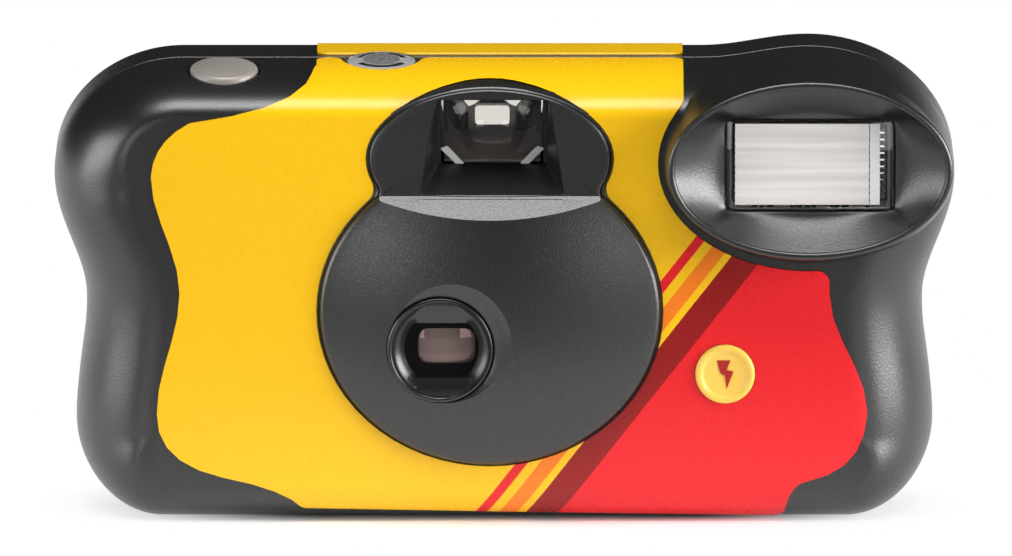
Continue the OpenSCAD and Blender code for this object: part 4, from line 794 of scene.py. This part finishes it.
class CAMERA_OT_counter(bpy.types.Operator):
    """Magnifying window of the frame counter and the numbers under it"""
    bl_idname = "camera.counter"
    bl_label = "Frame counter"

    def execute(self, context):
        dome_r, tilt = 16.0, math.radians(COUNTER_TILT)
        dome_y = COUNTER_Y + dome_r * math.sin(tilt)
        dome_z = TOP_Z + 0.6 - dome_r * math.cos(tilt)
        flange = COUNTER_R + 0.9
        rings = [at_height(circle(COUNTER_X, COUNTER_Y, r), z)
                 for r, z in ((flange, 55.8), (flange, 56.6), (COUNTER_R, 56.6), (COUNTER_R, 57.9))]
        for r in (COUNTER_R - 0.1, 4.2, 3.5, 2.8, 2.1, 1.4, 0.7, 0.02):
            rings.append([(x, y, dome_z + math.sqrt(dome_r ** 2 - (x - COUNTER_X) ** 2 - (y - dome_y) ** 2))
                          for x, y in circle(COUNTER_X, COUNTER_Y, r)])
        window = smooth(loft("counter_window_lens", rings), 40)
        seat(window, clear("clear_window", (0.96, 0.97, 0.97)), "clear_plastic", "counter_window")
        self.mask()
        self.numbers()
        return {"FINISHED"}

    def mask(self):
        """White mask moulded into the magnifier, with a grey middle and dark index marks."""
        disc = turned_z("counter_mask", COUNTER_X, COUNTER_Y, [(4.3, 58.1), (4.3, 58.25), (0.02, 58.25)])
        middle = turned_z("counter_middle", COUNTER_X, COUNTER_Y, [(2.3, 58.2), (2.3, 58.3), (0.02, 58.3)])
        marks = []
        for start, end in ((20, 75), (105, 160), (205, 335)):
            turns = [math.radians(start + (end - start) * i / 12) for i in range(13)]
            edge = [(COUNTER_X + 3.3 * math.cos(a), COUNTER_Y + 3.3 * math.sin(a)) for a in turns]
            edge += [(COUNTER_X + 2.6 * math.cos(a), COUNTER_Y + 2.6 * math.sin(a)) for a in reversed(turns)]
            marks.append(loft("mark", [at_height(edge, z) for z in (58.2, 58.3)]))
        for piece, name, tone, rough, slot in (
                (disc, "mask_white", (0.82, 0.82, 0.80), 0.45, "white_plastic"),
                (middle, "mask_grey", (0.36, 0.36, 0.36), 0.45, "white_plastic"),
                (join("counter_marks", *marks), "mask_dark", (0.02, 0.02, 0.02), 0.5, "black_plastic")):
            seat(piece, moulded(name, tone, rough, 0.3, 0.15, 0.005), slot)

    def numbers(self):
        """Every second number of 27 pictures, round the counter wheel."""
        lo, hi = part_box("counter_wheel")
        middle = (lo + hi) / 2
        thick, reach = 0.00003, 0.0048
        numbers = []
        for i in range(15):
            clear_selection()
            bpy.ops.object.text_add()
            text = bpy.context.object
            text.data.body = str(27 - 2 * i) if i < 14 else "0"
            text.data.size = 0.0022
            text.data.extrude = thick
            text.data.align_x, text.data.align_y = "CENTER", "CENTER"
            bpy.ops.object.convert(target="MESH")
            at = Matrix.Translation(Vector((middle.x, middle.y, hi.z + thick)))
            turn = Matrix.Rotation(math.radians(24 * i), 4, "Z")
            text.data.transform(at @ turn @ Matrix.Translation(Vector((0, reach, 0))))
            numbers.append(text)
        ink = moulded("counter_ink", (0.03, 0.03, 0.035), 0.5, 0.2, 0.2, 0.005)
        seat(join("counter_numbers", *numbers), ink, "white_plastic", body="frame_counter")


class CAMERA_OT_taking_lens(bpy.types.Operator):
    """Retaining ring with its flattened cone, and the coated lens behind it"""
    bl_idname = "camera.taking_lens"
    bl_label = "Taking lens"

    def execute(self, context):
        front, back = RETAINER_FRONT_Y, RETAINER_BACK_Y
        bead_r, bead = 0.34, []
        for turn in range(0, 181, 18):
            a = math.radians(turn)
            bead.append((6.6 + bead_r * math.cos(a), front + 0.05 - bead_r * math.sin(a)))
        flange = [(7.85, back), (7.85, -12.95), (6.94, -12.95)]
        face = [(6.26, front + 0.3), (0.02, front + 0.3)]
        ring = turned_y("lens_retaining_ring", LENS_X, LENS_Z, flange + bead + face, 128)
        carve(ring, self.mouth())
        carve(ring, turned_y("lens_seat", LENS_X, LENS_Z, [(5.75, back - 1.6), (5.75, back + 1)]))
        smooth(ring, 30)
        finish = moulded("ring_moulding", shade(look().plastic, 0.9), 0.3, 0.18, 0.35, 0.015, shine=0.9)
        seat(ring, finish, "black_plastic", "lens_retainer")
        baffle = turned_y("lens_baffle", LENS_X, LENS_Z, [(5.7, back - 1.58), (5.7, back - 1.53)])
        gap = rounded(oblong_about(LENS_X + 0.85, LENS_Z + 0.3, 3.7, 2.3), 1.5)
        carve(baffle, prism("gap", gap, back - 2, back - 1))
        matt = moulded("matt_black", (0.004, 0.004, 0.004), 0.8, 0.2, shine=0.1)
        seat(baffle, matt, "black_plastic")
        profile = [(5.6, back), (5.6, back - 0.3)]
        profile += [(r, back - 1.5 + r * r / 28.0) for r in (5.55, 5.0, 4.2, 3.2, 2.2, 1.1, 0.02)]
        lens = smooth(turned_y("taking_lens_glass", LENS_X, LENS_Z, profile), 40)
        # Pink specular tint is the coating's own colour; the pinkish-brown body, only partly clear, paints the
        # reflection seen in the lens
        glass = clear("coated_glass", (0.60, 0.46, 0.43), 0.01, 1.55, 0.72, (1.0, 0.62, 0.66), 0.8)
        seat(lens, glass, "coated_lens", "taking_lens")
        return {"FINISHED"}

    def mouth(self):
        """Cone from the front of the ring to the lens, cut flat above and stepped below."""
        rings = []
        for y, r, above, below in (
                (-15.6, 6.5, 6.45, 6.45), (-14.98, 6.22, 6.1, 6.1), (-14.8, 6.05, 5.5, 4.95), (-14.7, 5.95, 5.2, 4.75),
                (-14.55, 5.75, 4.8, 3.8), (-13.9, 4.95, 3.4, 3.7), (-13.3, 4.7, 3.0, 3.6)):
            rings.append([(LENS_X + 0.2 + x, y, LENS_Z + max(-below, min(above, z))) for x, z in circle(0, 0, r, 160)])
        return loft("lens_mouth", rings)


class CAMERA_OT_viewfinder(bpy.types.Operator):
    """Front lens and eyepiece of the viewfinder, with a painted highlight on the lens's corners and pale pieces
    between them that paint the light seen through the finder
    """
    bl_idname = "camera.viewfinder"
    bl_label = "Viewfinder"

    def execute(self, context):
        tint = clear("finder_plastic", (0.90, 0.88, 0.85))
        seat(self.front_lens(), tint, "clear_plastic", "viewfinder_lens")
        # Pale wedges on the lens's lower corners: painted highlight of the light that its cut corners catch
        painted_glint = moulded("frosted_edge", (0.88, 0.87, 0.85), 0.35, 0.3, 0.15)
        seat(self.wedges(), painted_glint, "clear_plastic")
        # Pale ramp under the finder: painted light, standing in for the lit brown-grey view seen through the finder
        # lens
        side = [(-5.1, 46.75), (-5.1, 47.05), (8.0, 48.6), (8.0, 48.3)]
        ramp = loft("finder_ramp", [at_side(side, x) for x in (FINDER_X - 6.3, FINDER_X + 6.3)])
        seat(ramp, moulded("umber_moulding", (0.92, 0.74, 0.70), 0.5), "black_plastic")
        # Pale funnel before the eyepiece: painted light, standing in for the daylight seen through the eyepiece
        funnel = ((11.0, 11.0, 7.4, 0.5), (14.8, 9.1, 5.1, 0.0), (14.8, 9.7, 5.7, 0.0), (11.0, 11.6, 8.0, 0.5))
        rings = [eyepiece_ring(y, w, h, 0.8, low) for y, w, h, low in funnel]
        funnel = smooth(loft("finder_funnel", rings, round_again=True), 30)
        seat(funnel, moulded("pale_moulding", (0.80, 0.79, 0.77)), "white_plastic")
        eye = smooth(copy_of_node("eyepiece", "eyepiece_lens"), 25)
        seat(eye, tint, "clear_plastic", "eyepiece")
        return {"FINISHED"}

    def front_lens(self):
        """Block with two cut corners and a hollow back."""
        back, deep, hollow_r, cut = -5.3, 0.9, 11.0, FINDER_CHAMFER
        rings = []
        for y, grow in ((back, 0.0), (-6.7, 0.0), (-6.9, -0.2)):
            h, foot, top = FINDER_LENS_HALF_W + grow, FINDER_FOOT - grow, FINDER_TOP + grow
            corners = [(FINDER_X - h + cut, foot), (FINDER_X + h - cut, foot), (FINDER_X + h, foot + cut),
                       (FINDER_X + h, top), (FINDER_X - h, top), (FINDER_X - h, foot + cut)]
            rings.append(at_depth(rounded(corners, 0.2, 2), y))
        lens = loft("viewfinder_front_lens", rings)
        depths = [0.0004] + [deep * (k / 12.0) ** 2 for k in range(1, 13)] + [deep + 0.4]
        hollow = [(math.sqrt(hollow_r ** 2 - (hollow_r - d) ** 2), back - deep + d) for d in depths]
        carve(lens, turned_y("hollow", FINDER_X, (FINDER_FOOT + FINDER_TOP) / 2, hollow))
        return smooth(lens, 25)

    def wedges(self):
        """Pale pieces in the two lower corners of the front lens: a painted highlight for the light that its cut
        corners catch.
        """
        half, foot, cut = FINDER_LENS_HALF_W, FINDER_FOOT, FINDER_CHAMFER
        corners = [(half + 0.2, foot + cut + 0.1), (half - 0.75, foot + cut + 0.45), (half - cut - 0.75, foot + 0.3),
                   (half - cut, foot - 0.1)]
        wedges = [prism("wedge", rounded([(FINDER_X + side * x, z) for x, z in corners], 0.15, 2), -7.05, -6.9)
                  for side in (-1, 1)]
        return smooth(join("finder_wedges", *wedges), 25)


class CAMERA_OT_flash(bpy.types.Operator):
    """Window of the flash with a pale panel of painted reflection, a white strip of painted highlight, its reflector
    and its tube
    """
    bl_idname = "camera.flash"
    bl_label = "Flash"

    def execute(self, context):
        window = smooth(soften(copy_of_node("flash_lens", "flash_window"), 0.12), 50)
        seat(window, clear("flash_clear", (0.97, 0.96, 0.95), 0.03), "clear_plastic", "flash_lens")
        low, high, back = FLASH_Z - 5.15, FLASH_Z + 5.55, -13.74
        # Pale panel on the window's front: painted reflection of the reflector behind the ribbed window
        panel = prism("flash_panel", oblong(30.05, low, 47.5, high), -13.80, back)
        seat(panel, self.painted_window_reflection(), "clear_plastic")
        bowl = smooth(copy_of_node("flash_reflector", "flash_bowl"), 30)
        foil = moulded("satin_foil", (0.90, 0.86, 0.84), 0.4, 1.2, 0.1, metallic=0.25)
        seat(bowl, foil, "mirror_foil", "flash_reflector")
        # White strip at the window's right end: painted highlight of the window's bright side facet
        end = prism("flash_end_strip", oblong(47.6, low, 48.9, high), -13.82, back)
        seat(end, moulded("strip_white", (0.92, 0.92, 0.91), 0.5, 0.3, 0.1, 0.005), "white_plastic")
        foot, top = FLASH_Z - 5.5, FLASH_Z - 5.5 + 0.3
        ticks = [prism("tick", oblong(at, foot, at + wide, top), -13.78, -13.72) for at, wide in (
            (32.2, 0.7), (33.2, 0.5), (34.2, 0.8), (37.3, 0.7), (38.2, 0.6), (39.1, 0.7), (40.0, 0.6), (42.4, 1.2),
            (44.0, 0.9), (47.0, 0.5))]
        seat(join("flash_ticks", *ticks), bpy.data.materials["matt_black"], "black_plastic")
        tube = smooth(copy_of_node("flash_tube", "flash_tube_glass"), 30)
        seat(tube, clear("tube_glass", (0.95, 0.97, 1.0), 0.01, 1.47), "tube_glass", "flash_tube")
        return {"FINISHED"}

    def painted_window_reflection(self):
        """Off-white plastic with soft level streaks: a painted reflection of the lit reflector seen through the ribbed
        window.
        """
        finish = Finish("frosted_panel")
        streak = finish.add("TexNoise", {"Scale": 900.0, "Detail": 3.0,
                                         "Vector": finish.scaled_place((0.03, 0.0, 1.0))})["Fac"]
        bands = finish.spread(streak, 0, 1, 0.35, 0.65)
        return finish.done({
            "Base Color": finish.tone(bands, (0.78, 0.72, 0.70), (0.98, 0.95, 0.93)),
            "Roughness": 0.35,
            "Normal": finish.bump(streak, 0.4, 0.1)})


class CAMERA_OT_flash_button(bpy.types.Operator):
    """Yellow flash button with a dished face and a bolt sign"""
    bl_idname = "camera.flash_button"
    bl_label = "Flash button"

    def execute(self, context):
        x, z, r = FLASH_BUTTON_X, FLASH_BUTTON_Z, FLASH_BUTTON_R
        front = FACE_Y - 1.0
        profile = [(1.5, -8.9), (1.5, -9.5), (4.8, -9.5), (4.8, -10.2), (r, -10.2), (r, front + 0.6)]
        profile += [(r - inset, front + back) for inset, back in (
            (0.06, 0.4), (0.2, 0.26), (0.4, 0.2), (0.6, 0.22), (0.8, 0.3), (0.95, 0.42), (1.05, 0.5))]
        profile += [(rr, front + 0.68 - rr * rr / 50.0) for rr in (2.7, 2.3, 1.7, 1.1, 0.5, 0.02)]
        button = smooth(turned_y("flash_button_cap", x, z, profile), 35)
        finish = moulded("yellow_moulding", look().flash_yellow, 0.3, 0.3, 0.15)
        seat(button, finish, "yellow_plastic", "flash_button", body="flash_button")
        bolt = [(-1.1, 1.85), (0.7, 1.85), (0.2, 0.55), (1.1, 0.35), (0.2, -1.95), (-0.03, -0.2), (-0.6, 0.1)]
        sign = prism("flash_sign", [(x + bx, z + bz) for bx, bz in bolt], front + 0.56, front + 0.72)
        red = moulded("sign_red", (0.40, 0.012, 0.008), 0.4, 0.3, 0.15, 0.005)
        seat(sign, red, "label_print", body="flash_button")
        return {"FINISHED"}


class CAMERA_OT_thumbwheel(bpy.types.Operator):
    """Ribbed thumbwheel and the light that shows when the flash is charged"""
    bl_idname = "camera.thumbwheel"
    bl_label = "Thumbwheel and ready light"

    def execute(self, context):
        wheel = smooth(soften(copy_of_node("thumbwheel", "thumbwheel_ribbed"), 0.1, 50), 30)
        finish = moulded("wheel_moulding", shade(look().plastic, 1.1), 0.45, 0.2, 0.5, 0.02)
        seat(wheel, finish, "black_plastic", "thumbwheel", body="film_drive")
        profile = [(2.2, 15.2), (2.2, 16.2), (1.4, 16.2), (1.4, 17.75), (1.33, 17.98), (1.15, 18.14), (0.8, 18.21),
                   (0.4, 18.24), (0.02, 18.25)]
        light = smooth(turned_y("ready_light_lens", READY_X, READY_Z, profile, 48), 40)
        amber = clear("amber_lens", (1.0, 0.35, 0.04), 0.12)
        seat(light, amber, "amber_plastic", "ready_light")
        return {"FINISHED"}


class CAMERA_OT_inner_works(bpy.types.Operator):
    """Finishes of the pieces inside the covers"""
    bl_idname = "camera.inner_works"
    bl_label = "Inner works"

    def execute(self, context):
        for finish, *nodes in (
                (moulded("chassis_moulding", (0.018, 0.018, 0.02), 0.5, 0.25, 0.5, 0.02),
                 "chassis", "shutter_plate", "supply_spool", "cartridge_spool", "release_leaf"),
                (moulded("sprocket_moulding", (0.80, 0.80, 0.77)), "film_sprocket"),
                (moulded("counter_moulding", (0.86, 0.86, 0.82), 0.42), "counter_wheel"),
                (moulded("lever_moulding", (0.70, 0.70, 0.67)), "drive_lever"),
                (moulded("lever_moulding_grey", (0.62, 0.62, 0.60)), "metering_lever"),
                (ruled("printed_steel", (0.75, 0.50, 0.03), (0.08, 0.07, 0.06), "Z", 2.0, 0.32), "cartridge_shell"),
                (moulded("film_base", (0.09, 0.055, 0.04), 0.22, 2.0, 0.05, 0.003, coat=0.4), "film_strip"),
                (ruled("film_turns", (0.10, 0.06, 0.045), (0.05, 0.03, 0.025), "X", 30.0, 0.25), "film_roll"),
                (moulded("blued_steel", (0.06, 0.06, 0.065), 0.35, depth=0.005, metallic=0.9), "shutter_blade"),
                (moulded("spring_steel", (0.55, 0.55, 0.56), 0.25, 0.2, 0.1, 0.003, metallic=1.0),
                 "shutter_spring", "drive_spring", "battery_contact_top", "battery_contact_base"),
                (moulded("board_laminate", (0.33, 0.20, 0.07), 0.5, 0.4, 0.3), "circuit_board"),
                (ruled("copper_winding", (0.55, 0.24, 0.10), (0.25, 0.10, 0.04), "Z", 40.0, 0.3), "transformer"),
                (moulded("capacitor_sleeve", (0.03, 0.035, 0.05), 0.3, 0.5, 0.1, 0.005, coat=0.3), "capacitor"),
                (ruled("battery_sleeve", (0.10, 0.10, 0.11), (0.35, 0.20, 0.09), "Z", 0.6, 0.28), "battery"),
                (moulded("contact_brass", (0.62, 0.48, 0.20), 0.28, 0.3, 0.1, 0.003, metallic=1.0),
                 "flash_switch_leaf"),
                (moulded("contact_bronze", (0.60, 0.42, 0.20), 0.28, 0.3, 0.1, 0.003, metallic=1.0), "sync_leaf")):
            for node in nodes:
                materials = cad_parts[node].data.materials
                materials.clear()
                materials.append(finish)
        return {"FINISHED"}


class CAMERA_OT_stage(bpy.types.Operator):
    """Pale floor, soft lights and the view of the photograph"""
    bl_idname = "camera.stage"
    bl_label = "Stage"

    def execute(self, context):
        scene = context.scene
        stage = scene.camera_stage
        scene.view_settings.view_transform = "Standard"
        clear_selection()
        bpy.ops.mesh.primitive_plane_add(size=6)
        floor = context.object
        floor.name = "floor"
        floor.data.materials.append(self.floor_finish(stage.floor))
        self.world(scene, stage.surroundings)
        for name, at, towards, size in (
                ("overhead", (0.0, -0.14, 0.50), (0.0, -0.14, 0.0), (0.40, 0.26)),
                ("left", (-0.42, -0.10, 0.11), (0.0, -0.01, 0.03), (0.34, 0.20)),
                ("right", (0.44, -0.13, 0.13), (0.0, -0.01, 0.03), (0.34, 0.24)),
                ("key", (-0.36, -0.76, 0.11), (0.0, 0.0, 0.03), (0.24, 0.20)),
                ("fill", (0.40, -0.75, 0.11), (0.0, 0.0, 0.03), (0.24, 0.20))):
            self.lamp(scene, name, Vector(at), Vector(towards), size, getattr(stage, name))
        view = bpy.data.cameras.new("view")
        view.sensor_width = 36
        view.lens = stage.focal
        eye = bpy.data.objects.new("view", view)
        scene.collection.objects.link(eye)
        lift = math.radians(stage.elevation)
        target = Vector((0.2, -8.0, 31.76)) * MM
        away = Vector((0, -math.cos(lift), math.sin(lift)))
        eye.location = target + away * stage.distance
        eye.rotation_euler = (-away).to_track_quat("-Z", "Y").to_euler()
        scene.camera = eye
        return {"FINISHED"}

    def lamp(self, scene, name, at, towards, size, power):
        lamp = bpy.data.lights.new(name, "AREA")
        lamp.shape = "RECTANGLE"
        lamp.size, lamp.size_y = size
        lamp.energy = power
        obj = bpy.data.objects.new(name, lamp)
        scene.collection.objects.link(obj)
        obj.location = at
        obj.rotation_euler = (towards - at).to_track_quat("-Z", "Y").to_euler()

    def floor_finish(self, colour):
        """Matt floor that takes the shadow, is white in view, in gloss and through glass beside and behind the object
        and is dark in front of it."""
        finish = Finish("pale_floor")
        place = finish.scaled_place((0.5, 1.0, 1.0))
        reach = finish.add("VectorMath", {0: place}, operation="LENGTH")["Value"]
        clear_of_shadow = finish.spread(reach, 0, 1, 0.014, 0.031, interpolation_type="SMOOTHSTEP")
        depth = finish.add("SeparateXYZ", {"Vector": place})["Y"]
        behind_front = finish.spread(depth, 0, 1, -0.1, -0.05, interpolation_type="SMOOTHSTEP")
        finish.done({"Base Color": finish.tone(behind_front, shade(colour, 0.25), colour), "Roughness": 0.9,
                     "Specular IOR Level": 0.1})
        ray = finish.add("LightPath", {})
        amount = ray["Is Camera Ray"]
        for operation, other in (("MAXIMUM", ray["Is Glossy Ray"]), ("MAXIMUM", ray["Is Transmission Ray"]),
                                 ("MULTIPLY", clear_of_shadow), ("MULTIPLY", behind_front)):
            amount = finish.add("Math", {0: amount, 1: other}, operation=operation)["Value"]
        white = finish.add("Emission", {})["Emission"]
        mix = finish.add("MixShader", {"Fac": amount, 1: finish.shader.outputs["BSDF"], 2: white})["Shader"]
        finish.fill(finish.tree.nodes["Material Output"], {"Surface": mix})
        return finish.material

    def world(self, scene, strength):
        world = bpy.data.worlds.new("studio")
        scene.world = world
        world.use_nodes = True
        soft = world.node_tree.nodes["Background"]
        soft.inputs["Color"].default_value = (1, 1, 1, 1)
        soft.inputs["Strength"].default_value = strength


GROUPS = {"camera_look": CameraLook, "camera_shape": CameraShape, "camera_stage": CameraStage}
OPERATORS = (
    CAMERA_OT_front_cover, CAMERA_OT_back_cover, CAMERA_OT_labels, CAMERA_OT_shutter_button, CAMERA_OT_counter,
    CAMERA_OT_taking_lens, CAMERA_OT_viewfinder, CAMERA_OT_flash, CAMERA_OT_flash_button, CAMERA_OT_thumbwheel,
    CAMERA_OT_inner_works, CAMERA_OT_stage,
)


class CAMERA_PT_panel(bpy.types.Panel):
    """Settings and steps of the film camera"""
    bl_idname = "CAMERA_PT_panel"
    bl_label = "Film camera"
    bl_space_type = "VIEW_3D"
    bl_region_type = "UI"
    bl_category = "Film camera"

    def draw(self, context):
        for group in GROUPS:
            settings = getattr(context.scene, group)
            box = self.layout.box()
            for name in settings.bl_rna.properties.keys():
                if name not in ("rna_type", "name"):
                    box.prop(settings, name)
        for operator in OPERATORS:
            self.layout.operator(operator.bl_idname)


CLASSES = (*GROUPS.values(), *OPERATORS, CAMERA_PT_panel)


def register():
    for item in CLASSES:
        bpy.utils.register_class(item)
    for name, group in GROUPS.items():
        setattr(bpy.types.Scene, name, bpy.props.PointerProperty(type=group))


def unregister():
    for name in GROUPS:
        delattr(bpy.types.Scene, name)
    for item in reversed(CLASSES):
        bpy.utils.unregister_class(item)


def main():
    register()
    bpy.ops.camera.front_cover()
    bpy.ops.camera.back_cover()
    bpy.ops.camera.labels()
    bpy.ops.camera.shutter_button()
    bpy.ops.camera.counter()
    bpy.ops.camera.taking_lens()
    bpy.ops.camera.viewfinder()
    bpy.ops.camera.flash()
    bpy.ops.camera.flash_button()
    bpy.ops.camera.thumbwheel()
    bpy.ops.camera.inner_works()
    bpy.ops.camera.stage()


if __name__ == "__main__":
    main()
